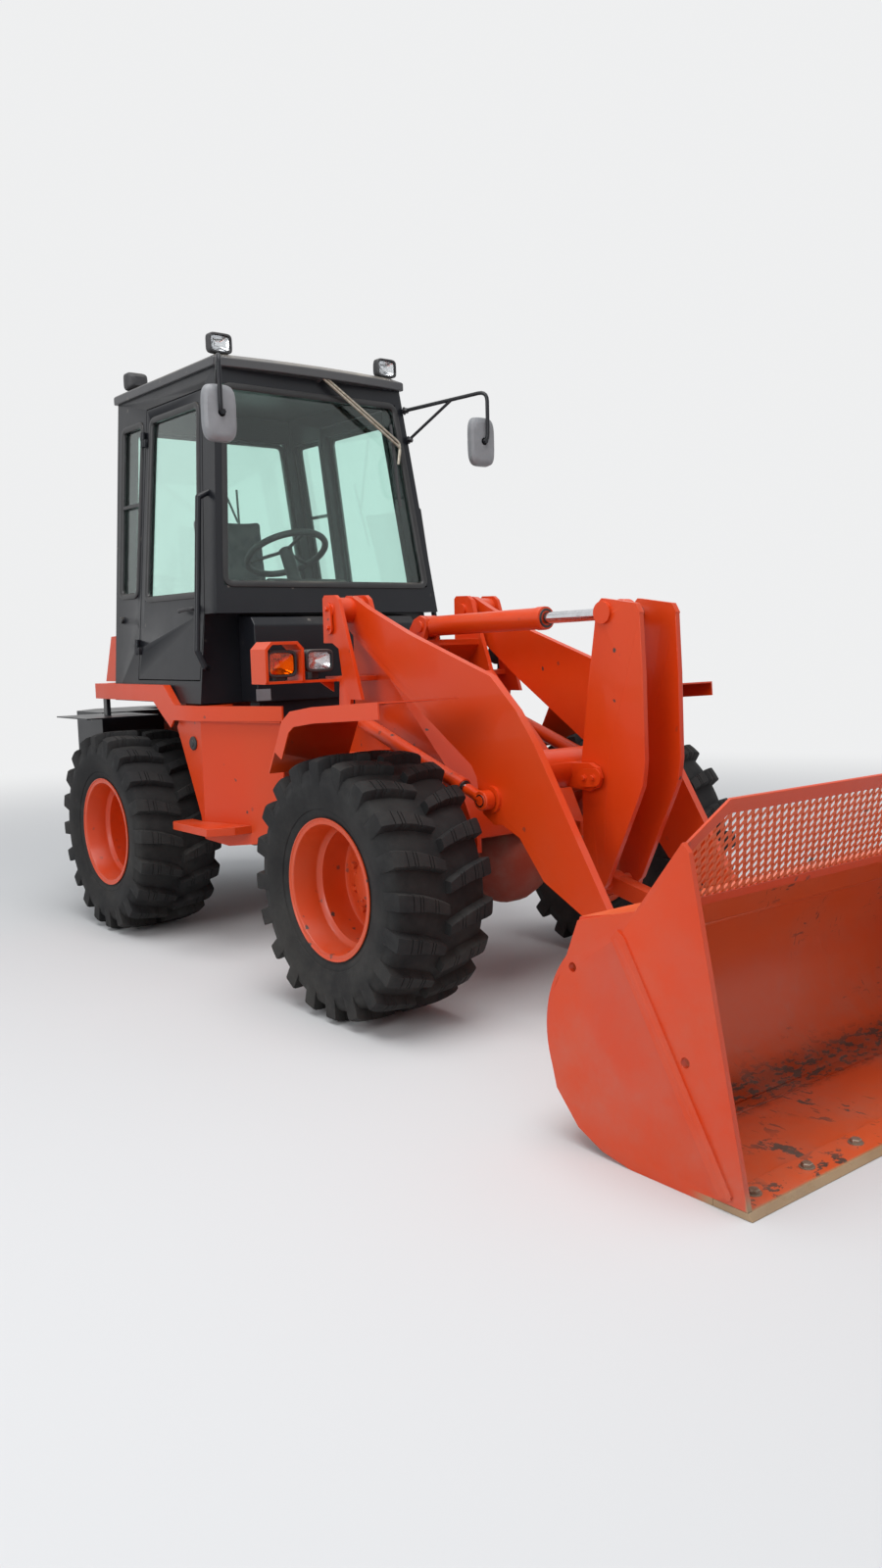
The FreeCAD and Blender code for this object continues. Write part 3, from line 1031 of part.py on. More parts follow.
door_rear = float(s.door_rear_x)
door_front = float(s.door_front_x)
door_top = float(s.door_top_z)
sill = CAB["cab_sill_z"]
door_outline = [(door_rear, sill), (door_front, sill), (door_front + 14, belt_z + 10), (-862, door_top),
                (door_rear - 26, door_top)]
gap = float(s.door_gap)
door_leaf_outline = [(door_rear + gap, sill + gap), (door_front - gap, sill + gap),
                     (door_front + 14 - gap, belt_z + 10), (-862 - gap, door_top - gap),
                     (door_rear - 26 + gap, door_top - gap)]
door_window = [(door_rear + 42, 1535), (door_front - 40, 1535), (-888, 2372), (door_rear + 20, 2372)]
side_window = [(-1628, 1560), (-1425, 1560), (-1444, 2372), (-1676, 2372)]
front_window = [(-1, -545, 1575), (-1, 545, 1575), (-1, 458, 2432), (-1, -458, 2432)]
rear_window = [(-1, -500, 1500), (-1, 500, 1500), (-1, 420, 2380), (-1, -420, 2380)]


def across_prism(points, low, high):
    """A closed outline in front view, spread between two values of X."""
    return Part.Face(wire([(low, y, z) for _, y, z in points])).extrude(Vector(high - low, 0, 0))


front_block = across_prism(front_window, -860, -500)
rear_block = across_prism(rear_window, -1900, -1560)
windows = [side_prism(side_window, -800, 800), front_block, rear_block]
doorways = side_prism(door_outline, -800, 800).cut(between_sides(wall + gap))
shell_shape = cab_walls.cut([doorways] + windows)
glass_out = float(s.glass_inset)
glass_in = glass_out + float(s.glass_thick)
pane_shell = cab_solid(floor_z, top_z, glass_out).cut(cab_solid(floor_z - 1, top_z + 1, glass_in))
panes = [pane_shell.common(block) for block in (front_block, rear_block)]
panes += [pane_shell.common(side_prism(side_window, *reach)) for reach in ((200, 800), (-800, -200))]
node(shaped("cab_glass_form", Part.makeCompound(panes)), "cab_glass")
HINGE_LEVELS = (1290, 2250)
KNUCKLE_R, HINGE_PIN_R = 11, 5
KNUCKLE_LONG = 34


def hinge_frame(level, side):
    """A point on the door's hinge axis, and the axis, which leans with the cab's side."""
    at = Vector(door_rear + 2 - (level - sill) * 0.021, side * (side_at(level) + 14), level)
    lean = Vector(-0.021, -side * CAB["cab_lean_side"], 1)
    return at, lean.normalize()


def strap(at, side, low_x, tall):
    """A flat tab from the hinge axis in to the cab's side."""
    out = side_at(at.z + tall) - 1
    near, far = sorted((side * out, at.y + side * 2))
    return Part.makeBox(30, far - near, tall, Vector(low_x, near, at.z))


DOORS = [("left", 1), ("right", -1)]
door_lugs = []
for label, side in DOORS:
    low, high = (200, 800) if side > 0 else (-800, -200)
    leaf = cab_walls.common(side_prism(door_leaf_outline, low, high))
    leaf = leaf.cut([side_prism(door_window, low, high), between_sides(wall)])
    knuckles, bores = [], []
    for level in HINGE_LEVELS:
        at, lean = hinge_frame(level, side)
        above = at + lean * (KNUCKLE_LONG + 1)
        knuckles += [Part.makeCylinder(KNUCKLE_R, KNUCKLE_LONG, at, lean), strap(at, side, at.x, KNUCKLE_LONG - 1)]
        bores.append(Part.makeCylinder(HINGE_PIN_R + float(s.running_gap), KNUCKLE_LONG + 8, at - lean * 4, lean))
        fixed = Part.makeCylinder(KNUCKLE_R, KNUCKLE_LONG, above, lean)
        pin = Part.makeCylinder(HINGE_PIN_R, KNUCKLE_LONG + 5, at - lean * 2, lean)
        door_lugs.append(fixed.fuse([pin, strap(above, side, above.x - 30, KNUCKLE_LONG)]))
    leaf = leaf.fuse(knuckles).cut(bores)
    node(shaped(f"door_{label}_form", leaf), f"door_{label}")
    node(shaped(f"door_glass_{label}_form", pane_shell.common(side_prism(door_window, low, high))),
         f"door_glass_{label}")
shell_shape = shell_shape.fuse(door_lugs + [hood_lug(side) for side in (1, -1)])
node(shaped("cab_shell_form", shell_shape), "cab_shell")

# Roof: a shallow cap with a bowed front edge
roof_low, roof_high = float(s.cab_top_z), float(s.roof_z)


def roof_outline(z, grow):
    half = side_at(top_z) + grow
    front, rear = front_at(top_z) + grow, rear_at(top_z) - grow
    corners = [Vector(rear, -half, z), Vector(front, -half, z), Vector(front, half, z), Vector(rear, half, z)]
    bow = Part.Arc(corners[1], Vector(front + 34, 0, z), corners[2]).toShape()
    return Part.Wire([Part.makeLine(corners[0], corners[1]), bow, Part.makeLine(corners[2], corners[3]),
                      Part.makeLine(corners[3], corners[0])])


roof_form = Part.makeLoft([roof_outline(roof_low, 16), roof_outline(roof_high - 22, 16)], True, True)
roof_form = roof_form.fuse(Part.makeLoft([roof_outline(roof_high - 22, 16), roof_outline(roof_high, -26)], True, True))
node(shaped("cab_roof_form", roof_form.removeSplitter()), "cab_roof")

# Inside the cab: console, steering wheel, seat
console = plate("dash_block", "xz", [(-790, floor_z + 45), (-790, 1540), (-860, 1620), (-930, 1600), (-900, floor_z + 45)], -210, 210)
column = shaped("steering_column", Part.makeCylinder(32, 300, Vector(-900, 0, 1480), Vector(-0.45, 0, 0.89)))
pedestal = box("seat_pedestal", (-1560, -1180), (-210, 210), (floor_z + 45, 1390))
node(group("cab_fittings_part", [fuse("dash_set", [console, column]), pedestal]), "cab_fittings")
wheel_hub = Vector(-900, 0, 1480) + Vector(-0.45, 0, 0.89) * 301
grip = [(0, 173), (-11, 180), (-15, 190), (-11, 200), (0, 207), (11, 200), (15, 190), (11, 180)]
ring = faceted(grip, 24)
ring.Placement = Placement(wheel_hub, Rotation(Vector(0, 1, 0), Vector(-0.45, 0, 0.89)))
spokes = [Part.makeCylinder(30, 26, wheel_hub, Vector(-0.45, 0, 0.89))]
for turn_angle in (0, 120, 240):
    direction = Rotation(Vector(-0.45, 0, 0.89), turn_angle).multVec(Vector(0.89, 0, 0.45))
    spokes.append(Part.makeCylinder(9, 182, wheel_hub + Vector(-0.45, 0, 0.89) * 9, direction))
node(shaped("steering_wheel_form", ring.fuse(spokes)), "steering_wheel")
node(box("seat_cushion_part", (-1600, -1150), (-240, 240), (1390.3, 1500)), "seat_cushion")
node(plate("seat_back_part", "xz", [(-1600, 1500.3), (-1640, 1980), (-1560, 1990), (-1490, 1500.3)], -230, 230),
     "seat_back")

# Cowl box between the towers, below the cab's front
cowl_outline = [(CAB["cab_foot_x"], 1072), (-604, 1072), (-612, 1405), (-640, 1440), (CAB["cab_foot_x"], 1452)]
node(plate("cowl_part", "xz", cowl_outline, -435, 435), "cowl")

# Roof lamps, grab rails, mirrors
LAMPS = [("front", -850, 440), ("rear", -1700, 420)]
lamps = []
for label, place, across in LAMPS:
    body = box(f"work_lamp_{label}", (place, place + 70), (across - 60, across + 60), (2500 + 76, 2500 + 150))
    foot = box(f"work_lamp_foot_{label}", (place + 24, place + 44), (across - 12, across + 12), (s.roof_z, 2577))
    lamps.append(fuse(f"work_lamp_set_{label}", [body, foot]))
node(group("work_lamps_part", lamps + [mirrored(f"{lamp.Name}_mirrored", lamp) for lamp in lamps]), "work_lamps")


def tube(points, diameter):
    """A bent tube: straight runs with a ball at each bend."""
    radius = diameter / 2
    runs = []
    for start, end in zip(points, points[1:]):
        a, b = Vector(*start), Vector(*end)
        runs.append(Part.makeCylinder(radius, (b - a).Length, a, b - a))
    runs += [Part.makeSphere(radius, Vector(*p)) for p in points[1:-1]]
    return runs[0].fuse(runs[1:]).removeSplitter()


rail_points = [(CAB["cab_foot_x"] - 1, side_at(1230) - 25, 1230), (-708, side_at(1230) + 10, 1232),
               (-716, side_at(1300) + 45, 1300), (-764, side_at(1950) + 45, 1950), (-764, side_at(1975) - 1, 1975)]
rail = shaped("grab_rail", tube(rail_points, 26).cut(cab_outer))
node(both("grab_rails_part", rail), "grab_rails")
mirror_arm = tube([(-790, side_at(2380) - 8, 2380), (-650, side_at(2380) + 170, 2400),
                   (-650, side_at(2380) + 185, 2150)], 18)
mirror_head = Part.makeBox(40, 150, 260, Vector(-672, side_at(2380) + 110, 1950))
node(both("mirrors_part", shaped("mirror_set", mirror_arm.fuse(mirror_head).cut(cab_outer))), "mirrors")


doc.recompute()
failed = [obj.Name for obj in doc.Objects if {"Invalid", "Error"} & set(obj.State)]
if failed:
    raise RuntimeError(f"failed features: {failed}")
os.makedirs("parts", exist_ok=True)
for part in nodes:
    if part.Shape.isNull() or not part.Shape.isValid():
        raise RuntimeError(f"bad shape: {part.Label}")
    part.Shape.exportStep(f"parts/{part.Label}.step")
    print(part.Label, len(part.Shape.Solids), round(part.Shape.Volume / 1e6, 3))
print(len(nodes), "nodes")
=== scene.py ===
# %% [markdown]
# A compact articulated wheel loader
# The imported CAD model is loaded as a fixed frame: every piece is in metres, X forward,
# Y to the driver's left, Z up, and each one already rides on the body that moves it.
# This lesson dresses that frame. It makes finer surfaces where the CAD is plain, gives
# each piece its finish, and ends with a soft studio and the camera of the photograph.

# %% Load the frame
import json

import bpy
import bmesh
import numpy as np
from mathutils import Matrix, Vector

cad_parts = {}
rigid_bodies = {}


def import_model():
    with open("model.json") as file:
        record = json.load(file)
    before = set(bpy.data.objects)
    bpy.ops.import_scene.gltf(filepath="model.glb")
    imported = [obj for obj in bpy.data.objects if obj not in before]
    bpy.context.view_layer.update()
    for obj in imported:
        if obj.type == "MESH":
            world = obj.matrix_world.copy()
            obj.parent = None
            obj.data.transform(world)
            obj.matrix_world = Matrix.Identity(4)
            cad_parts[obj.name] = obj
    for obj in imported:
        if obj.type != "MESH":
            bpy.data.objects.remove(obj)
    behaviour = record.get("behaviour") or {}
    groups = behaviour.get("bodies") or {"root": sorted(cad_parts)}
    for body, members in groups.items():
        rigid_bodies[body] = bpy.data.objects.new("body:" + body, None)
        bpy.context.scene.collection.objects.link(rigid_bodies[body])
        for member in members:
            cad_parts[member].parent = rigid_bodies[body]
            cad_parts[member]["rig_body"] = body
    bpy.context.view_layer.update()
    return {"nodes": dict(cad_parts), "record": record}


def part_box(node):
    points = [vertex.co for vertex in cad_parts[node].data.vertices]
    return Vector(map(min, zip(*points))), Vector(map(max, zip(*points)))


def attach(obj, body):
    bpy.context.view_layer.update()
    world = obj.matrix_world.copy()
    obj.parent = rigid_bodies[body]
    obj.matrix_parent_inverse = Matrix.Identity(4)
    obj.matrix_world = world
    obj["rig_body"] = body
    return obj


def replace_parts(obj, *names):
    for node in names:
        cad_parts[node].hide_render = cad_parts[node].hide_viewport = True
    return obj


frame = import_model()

NODES = frame["nodes"]
TAU = 2 * np.pi

# %% [markdown]
# A mesh from arrays
# Each new surface here is a grid: a function of two parameters, worked out with numpy for
# all points at once. A grid can be open, or closed round either direction, and its faces
# are four-sided. Building the index table by array arithmetic keeps Python loops out.

# %% Grid surfaces
def grid_faces(rows, columns, close_rows=False, close_columns=False):
    """Quads of a grid: face (i, j) joins points (i, j), (i, j+1), (i+1, j+1), (i+1, j)."""
    last_row = rows if close_rows else rows - 1
    last_column = columns if close_columns else columns - 1
    i, j = np.meshgrid(np.arange(last_row), np.arange(last_column), indexing="ij")
    i, j = i.ravel(), j.ravel()
    next_i, next_j = (i + 1) % rows, (j + 1) % columns
    here, there = i * columns, next_i * columns
    return np.stack([here + j, here + next_j, there + next_j, there + j], axis=1)


def mesh_piece(name, points, faces, smooth_angle=35.0):
    """An object at the origin from points (n, 3) and faces; edges sharper than the angle stay crisp."""
    mesh = bpy.data.meshes.new(name)
    places = np.asarray(points, float).reshape(-1, 3).tolist()
    mesh.from_pydata(places, [], [list(map(int, face)) for face in faces])
    mesh.validate()
    piece = bpy.data.objects.new(name, mesh)
    bpy.context.scene.collection.objects.link(piece)
    outward(piece)
    crisp(piece, smooth_angle)
    return piece


def outward(piece):
    """Doubles merged, then normals recalculated so that they point outwards."""
    work = bmesh.new()
    work.from_mesh(piece.data)
    bmesh.ops.remove_doubles(work, verts=work.verts, dist=1e-6)
    bmesh.ops.recalc_face_normals(work, faces=work.faces)
    work.to_mesh(piece.data)
    work.free()


def crisp(piece, angle):
    """Smooth shading, with edges sharper than the angle marked sharp."""
    mesh = piece.data
    mesh.shade_smooth()
    mesh.set_sharp_from_angle(angle=np.radians(angle))


def surface(name, points, close_rows=False, close_columns=False, smooth_angle=35.0):
    """A piece from a (rows, columns, 3) array of points."""
    rows, columns = points.shape[:2]
    return mesh_piece(name, points, grid_faces(rows, columns, close_rows, close_columns), smooth_angle)


def joined(name, parts, smooth_angle=35.0):
    """One piece from several (points, faces) pairs."""
    points, faces, start = [], [], 0
    for part_points, part_faces in parts:
        part_points = np.asarray(part_points, float).reshape(-1, 3)
        points.append(part_points)
        faces += [[int(k) + start for k in face] for face in part_faces]
        start += len(part_points)
    return mesh_piece(name, np.concatenate(points), faces, smooth_angle)


# %% Turned and swept forms
def turned(profile, axis, centre, steps=96):
    """Points of a profile turned about an axis: profile (n, 2) holds distance along the axis and radius.

    Point (i, j) = centre + axis * along_j + radius_j * (cos(a_i) * side + sin(a_i) * up).
    """
    profile = np.asarray(profile, float)
    axis = np.asarray(axis, float) / np.linalg.norm(axis)
    helper = np.array([0.0, 0.0, 1.0]) if abs(axis[2]) < 0.9 else np.array([1.0, 0.0, 0.0])
    side = np.cross(axis, helper)
    side /= np.linalg.norm(side)
    up = np.cross(axis, side)
    angle = np.linspace(0, TAU, steps, endpoint=False)[:, None, None]
    ring = np.cos(angle) * side + np.sin(angle) * up
    return np.asarray(centre, float) + axis * profile[None, :, :1] + ring * profile[None, :, 1:]


def turned_part(profile, axis, centre, steps=96):
    """A turned form as (points, faces), for joining."""
    points = turned(profile, axis, centre, steps)
    return points, grid_faces(steps, points.shape[1], close_rows=True)


def rounded_path(corners, radius, steps=6):
    """A path through corners with each bend rounded: points on a quadratic curve round the corner."""
    corners = np.asarray(corners, float)
    path = [corners[0]]
    for before, at, after in zip(corners, corners[1:], corners[2:]):
        reach_in = min(radius, 0.45 * np.linalg.norm(before - at))
        reach_out = min(radius, 0.45 * np.linalg.norm(after - at))
        start = at + (before - at) / np.linalg.norm(before - at) * reach_in
        end = at + (after - at) / np.linalg.norm(after - at) * reach_out
        t = np.linspace(0, 1, steps)[:, None]
        path += list((1 - t) ** 2 * start + 2 * t * (1 - t) * at + t ** 2 * end)
    path.append(corners[-1])
    return np.array(path)


def swept(path, radius, sides=12):
    """A round tube along a path as (points, faces), with closed ends.

    At each point the section's side and up directions are carried along the path, so it never twists.
    """
    path = np.asarray(path, float)
    along = np.gradient(path, axis=0)
    along /= np.linalg.norm(along, axis=1, keepdims=True)
    up = np.array([0.0, 0.0, 1.0]) if abs(along[0][2]) < 0.9 else np.array([1.0, 0.0, 0.0])
    rings = []
    angle = np.linspace(0, TAU, sides, endpoint=False)
    radii = np.broadcast_to(radius, len(path))
    for centre, direction, size in zip(path, along, radii):
        side = np.cross(direction, up)
        side /= np.linalg.norm(side)
        up = np.cross(side, direction)
        rings.append(centre + size * (np.cos(angle)[:, None] * side + np.sin(angle)[:, None] * up))
    rings = [np.tile(path[0], (sides, 1))] + rings + [np.tile(path[-1], (sides, 1))]
    points = np.array(rings)
    return points, grid_faces(len(rings), sides, close_columns=True)


def prism(low_ring, high_ring):
    """Two matching rings of corners as (points, faces): sides between them, and a face on each."""
    count = len(low_ring)
    sides = grid_faces(2, count, close_columns=True).tolist()
    return np.stack([low_ring, high_ring]), sides + [list(range(count)), list(range(count, 2 * count))]


def slab(outline, *faces_at):
    """A flat plate as (points, faces): an outline of (x, z), spread between two values of y."""
    outline = np.asarray(outline, float)
    rings = [np.insert(outline, 1, y, axis=1) for y in sorted(faces_at)]
    return prism(*rings)


SIDES = (("left", 1), ("right", -1))


def on_both_sides(outline, near, far):
    """The same slab on the left and the right, between two distances from the middle."""
    return [slab(outline, side * near, side * far) for _, side in SIDES]


def block(low, high):
    """A box as (points, faces)."""
    return slab([(low[0], low[2]), (high[0], low[2]), (high[0], high[2]), (low[0], high[2])], low[1], high[1])


# %% Bolts and nuts
def hex_heads(places, axis, across, tall, washer=1.35):
    """Hexagon heads with washers and a chamfered top, as a list of parts.

    Each head is a turned form with six steps: radius falls from the corners to 0.86 of them at the top.
    """
    radius = across / 2 / np.cos(np.pi / 6)
    parts = []
    for place in places:
        disc = [(-0.001, 0), (-0.001, radius * washer), (0.002, radius * washer), (0.002, 0)]
        head = [(0.0, 0), (0.0, radius), (tall * 0.8, radius), (tall, radius * 0.86), (tall, 0)]
        parts += [turned_part(disc, axis, place, 20), turned_part(head, axis, place, 6)]
    return parts


# %% [markdown]
# CAD plates with soft edges
# Real plate never has a knife edge: flame cutting and paint leave a radius of a few
# millimetres that catches the light. A bevel on the CAD node itself isn't allowed, so a
# copy is merged, its flat triangles are joined to whole faces, and a Bevel modifier
# rounds what is left. The copy replaces the node and keeps its place exactly.

# %% Softened copies
BUCKET_ROUND_X, BUCKET_ROUND_Z, BUCKET_ROUND_RADIUS = 1.9809, 0.2952, 0.2912


def flush_inside(work):
    """The hinge plates' ends are cut flush with the bucket's round inner face and closed again.

    A point is proud where hypot(x - middle_x, z - middle_z) is less than the radius of that face.
    """
    def short_of_face(vert):
        return BUCKET_ROUND_RADIUS - np.hypot(vert.co.x - BUCKET_ROUND_X, vert.co.z - BUCKET_ROUND_Z)

    def by_the_hinges(vert):
        return abs(vert.co.y) < 0.5 and 0.1 < vert.co.z < 0.52 and vert.co.x < 1.8

    near = {v for v in work.verts if by_the_hinges(v) and short_of_face(v) > -4e-4}
    proud = {v for v in near if short_of_face(v) > 0.012}
    ends = [f for f in work.faces
            if proud & set(f.verts) or (abs(f.normal.y) > 0.9 and near.issuperset(f.verts))]
    bmesh.ops.delete(work, geom=ends, context="FACES")
    bmesh.ops.delete(work, geom=[v for v in work.verts if not v.link_faces], context="VERTS")
    rims = {}
    for vert in {v for e in work.edges if e.is_boundary for v in e.verts}:
        rims.setdefault(round(vert.co.y, 4), []).append(vert)
    sides = sorted(rims)
    for low, high in zip(sides[::2], sides[1::2]):
        first, second = (sorted(rims[side], key=lambda v: v.co.z) for side in (low, high))
        for a, b, c, d in zip(first, first[1:], second[1:], second):
            work.faces.new((a, b, c, d))


def softened(node, width=0.003, segments=2, angle=32.0, smooth_angle=40.0, mend=None):
    """A copy of a CAD node with rounded edges, which replaces it."""
    source = NODES[node]
    mesh = source.data.copy()
    work = bmesh.new()
    work.from_mesh(mesh)
    bmesh.ops.remove_doubles(work, verts=work.verts, dist=2e-5)
    if mend:
        mend(work)
    bmesh.ops.dissolve_limit(work, angle_limit=np.radians(1.0), verts=work.verts, edges=work.edges)
    bmesh.ops.recalc_face_normals(work, faces=work.faces)
    work.to_mesh(mesh)
    work.free()
    mesh.materials.clear()
    piece = bpy.data.objects.new(f"{node}_dressed", mesh)
    bpy.context.scene.collection.objects.link(piece)
    crisp(piece, smooth_angle)
    if width > 0:
        bevel = piece.modifiers.new("soft_edges", "BEVEL")
        bevel.width = width
        bevel.segments = segments
        bevel.limit_method = "ANGLE"
        bevel.angle_limit = np.radians(angle)
        bevel.harden_normals = True
        bevel.miter_outer = "MITER_ARC"
    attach(piece, source["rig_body"])
    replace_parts(piece, node)
    return piece


def round_edges(piece, width):
    """A plain bevel of two segments on a piece made here."""
    bevel = piece.modifiers.new("soft_edges", "BEVEL")
    bevel.width, bevel.segments = width, 2
    return piece


def middle_of(node):
    """The middle of a CAD node's box."""
    return np.mean(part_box(node), axis=0)


def body_of(node):
    return NODES[node]["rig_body"]


def dress(piece, material, body=None):
    """Gives a piece its material, and where they are named its body."""
    piece.data.materials.clear()
    piece.data.materials.append(material)
    if body:
        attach(piece, body)
    return piece


# %% [markdown]
# Shader groups
# Dust, chips and fine orange peel turn up on nearly every finish, so each one is a node
# group with named inputs, built once. A group gives only masks and heights that vary over
# the surface. The Principled shader and its fixed values stay in each material.

# %% Group helpers
def new_group(name, inputs, outputs):
    """A shader group with sockets made from (name, kind, default) rows."""
    group = bpy.data.node_groups.new(name, "ShaderNodeTree")
    for label, kind, default in inputs:
        socket = group.interface.new_socket(label, in_out="INPUT", socket_type=kind)
        if default is not None:
            socket.default_value = default
    for label, kind in outputs:
        group.interface.new_socket(label, in_out="OUTPUT", socket_type=kind)
    return group, group.nodes.new("NodeGroupInput"), group.nodes.new("NodeGroupOutput")


def put(tree, kind, values=(), **settings):
    """A node with its properties and its input values set."""
    node = tree.nodes.new(kind)
    for key, value in settings.items():
        setattr(node, key, value)
    for key, value in dict(values).items():
        node.inputs[key].default_value = value
    return node


def join(tree, source, out, target, into):
    tree.links.new(source.outputs[out], target.inputs[into])


def ramp(tree, source, out, low, high):
    """Values from low to high become 0 to 1, smoothly."""
    limits = {"From Min": low, "From Max": high}
    node = put(tree, "ShaderNodeMapRange", limits, interpolation_type="SMOOTHSTEP")
    join(tree, source, out, node, "Value")
    return node


def maths(tree, operation, first, second):
    """A Math node; each term is a number or a (node, output) pair."""
    node = put(tree, "ShaderNodeMath", operation=operation)
    for index, term in enumerate((first, second)):
        if isinstance(term, tuple):
            join(tree, term[0], term[1], node, index)
        else:
            node.inputs[index].default_value = term
    return node


def product(tree, *masks):
    """Masks multiplied together, each given as its node or as a (node, output) pair."""
    pairs = [mask if isinstance(mask, tuple) else (mask, 0) for mask in masks]
    total = pairs[0]
    for pair in pairs[1:]:
        total = (maths(tree, "MULTIPLY", total, pair), 0)
    return total[0]


def noise(tree, coordinates, scale, detail=4.0, roughness=0.55, out="Object"):
    node = put(tree, "ShaderNodeTexNoise", {"Scale": scale, "Detail": detail, "Roughness": roughness})
    join(tree, coordinates, out, node, "Vector")
    return node


# %% Dust, chips and scratches
def dust_group():
    """Dust: thick on faces that look up, thin on walls, broken by noise; more near the ground."""
    group, inside, outside = new_group("settled_dust", [("Amount", "NodeSocketFloat", 0.5),
                                                        ("Ground", "NodeSocketFloat", 0.4)],
                                       [("Mask", "NodeSocketFloat")])
    place = put(group, "ShaderNodeTexCoord")
    normal = put(group, "ShaderNodeNewGeometry")
    split = put(group, "ShaderNodeSeparateXYZ")
    join(group, normal, "Normal", split, "Vector")
    upward = ramp(group, split, "Z", 0.2, 1.0)
    height = put(group, "ShaderNodeSeparateXYZ")
    join(group, place, "Object", height, "Vector")
    low_down = ramp(group, height, "Z", 1.1, 0.0)
    cloud = noise(group, place, 3.2, 8.0, 0.65)
    fine = noise(group, place, 46.0, 3.0)
    patch = ramp(group, cloud, "Fac", 0.36, 0.72)
    settled = product(group, upward, (inside, "Amount"))
    splashed = product(group, low_down, (inside, "Ground"))
    total = maths(group, "ADD", (settled, 0), (splashed, 0))
    broken = product(group, total, patch)
    grain = maths(group, "MULTIPLY_ADD", (fine, "Fac"), 0.8)
    grain.inputs[2].default_value = 0.6
    mask = product(group, broken, grain)
    mask.use_clamp = True
    join(group, mask, 0, outside, "Mask")
    return group


def chips_group():
    """Paint chips: cells of a Voronoi pattern whose random value is high, ragged by noise."""
    group, inside, outside = new_group("paint_chips", [("Scale", "NodeSocketFloat", 30.0),
                                                       ("Share", "NodeSocketFloat", 0.1)],
                                       [("Mask", "NodeSocketFloat")])
    place = put(group, "ShaderNodeTexCoord")
    warp = noise(group, place, 60.0, 3.0)
    shift = put(group, "ShaderNodeVectorMath", operation="MULTIPLY_ADD")
    join(group, warp, "Color", shift, 0)
    shift.inputs[1].default_value = (0.02, 0.02, 0.02)
    join(group, place, "Object", shift, 2)
    cells = put(group, "ShaderNodeTexVoronoi", feature="F1")
    join(group, shift, 0, cells, "Vector")
    join(group, inside, "Scale", cells, "Scale")
    near = ramp(group, cells, "Distance", 0.34, 0.2)
    pick = put(group, "ShaderNodeSeparateColor")
    join(group, cells, "Color", pick, "Color")
    chosen = maths(group, "LESS_THAN", (pick, "Red"), (inside, "Share"))
    area = noise(group, place, 2.4, 2.0)
    where = ramp(group, area, "Fac", 0.42, 0.6)
    join(group, product(group, near, chosen, where), 0, outside, "Mask")
    return group


DUST = dust_group()
CHIPS = chips_group()


# %% [markdown]
# Painted steel
# The loader's orange is a two-pack gloss that has gone slightly chalky. The base colour
# drifts a little over each panel, pale dust lies on what faces up, and small chips show
# dark steel. A fine bump gives the paint its orange peel. One function makes every paint
# from a table of colours, so the machine looks as if it had left one paint shop.

# %% Paint function
def placed(tree, group, values):
    node = tree.nodes.new("ShaderNodeGroup")
    node.node_tree = group
    for key, value in values.items():
        node.inputs[key].default_value = value
    return node


def blend_colours(tree, factor, out, first, second):
    """Mix of two colours; each is a colour or a (node, output) pair."""
    node = put(tree, "ShaderNodeMix", data_type="RGBA")
    join(tree, factor, out, node, 0)
    for socket, term in ((6, first), (7, second)):
        if isinstance(term[0], bpy.types.Node):
            tree.links.new(term[0].outputs[term[1]], node.inputs[socket])
        else:
            node.inputs[socket].default_value = (*term, 1.0)
    return node


def bump_of(tree, source, out, strength, distance):
    node = put(tree, "ShaderNodeBump", {"Strength": strength, "Distance": distance})
    join(tree, source, out, node, "Height")
    return node


def new_material(name, roughness=0.5, metallic=0.0, coat=0.0):
    material = bpy.data.materials.new(name)
    material.use_nodes = True
    tree = material.node_tree
    shader = tree.nodes["Principled BSDF"]
    shader.inputs["Roughness"].default_value = roughness
    shader.inputs["Metallic"].default_value = metallic
    shader.inputs["Coat Weight"].default_value = coat
    return material, tree, shader, put(tree, "ShaderNodeTexCoord")


DUST_COLOUR = (0.30, 0.26, 0.21)


def paint(name, colour, faded, chipped, roughness=0.34, coat=0.25, dust=0.5, ground=0.3, share=0.05,
          chip_scale=34.0, shine=0.5):
    """Gloss paint: colour drifts to its faded tone, chips show what is below, dust lies on top."""
    material, tree, shader, place = new_material(name, roughness, coat=coat)
    shader.inputs["Specular IOR Level"].default_value = shine
    drift = ramp(tree, noise(tree, place, 1.7, 5.0, 0.6), "Fac", 0.35, 0.7)
    base = blend_colours(tree, drift, 0, colour, faded)
    chips = placed(tree, CHIPS, {"Scale": chip_scale, "Share": share})
    worn = blend_colours(tree, chips, 0, (base, 2), chipped)
    settled = placed(tree, DUST, {"Amount": dust, "Ground": ground})
    final = blend_colours(tree, settled, 0, (worn, 2), DUST_COLOUR)
    join(tree, final, 2, shader, "Base Color")
    smudge = noise(tree, place, 7.0, 6.0, 0.65)
    rough = put(tree, "ShaderNodeMapRange", {"To Min": roughness - 0.08, "To Max": roughness + 0.16})
    join(tree, smudge, "Fac", rough, "Value")
    dusty = maths(tree, "MULTIPLY_ADD", (settled, 0), 0.4)
    join(tree, rough, 0, dusty, 2)
    join(tree, dusty, 0, shader, "Roughness")
    peel = noise(tree, place, 210.0, 2.0)
    soft = bump_of(tree, peel, "Fac", 0.05, 0.002)
    pit = bump_of(tree, chips, 0, 0.35, 0.001)
    pit.invert = True
    join(tree, soft, 0, pit, "Normal")
    join(tree, pit, 0, shader, "Normal")
    return material


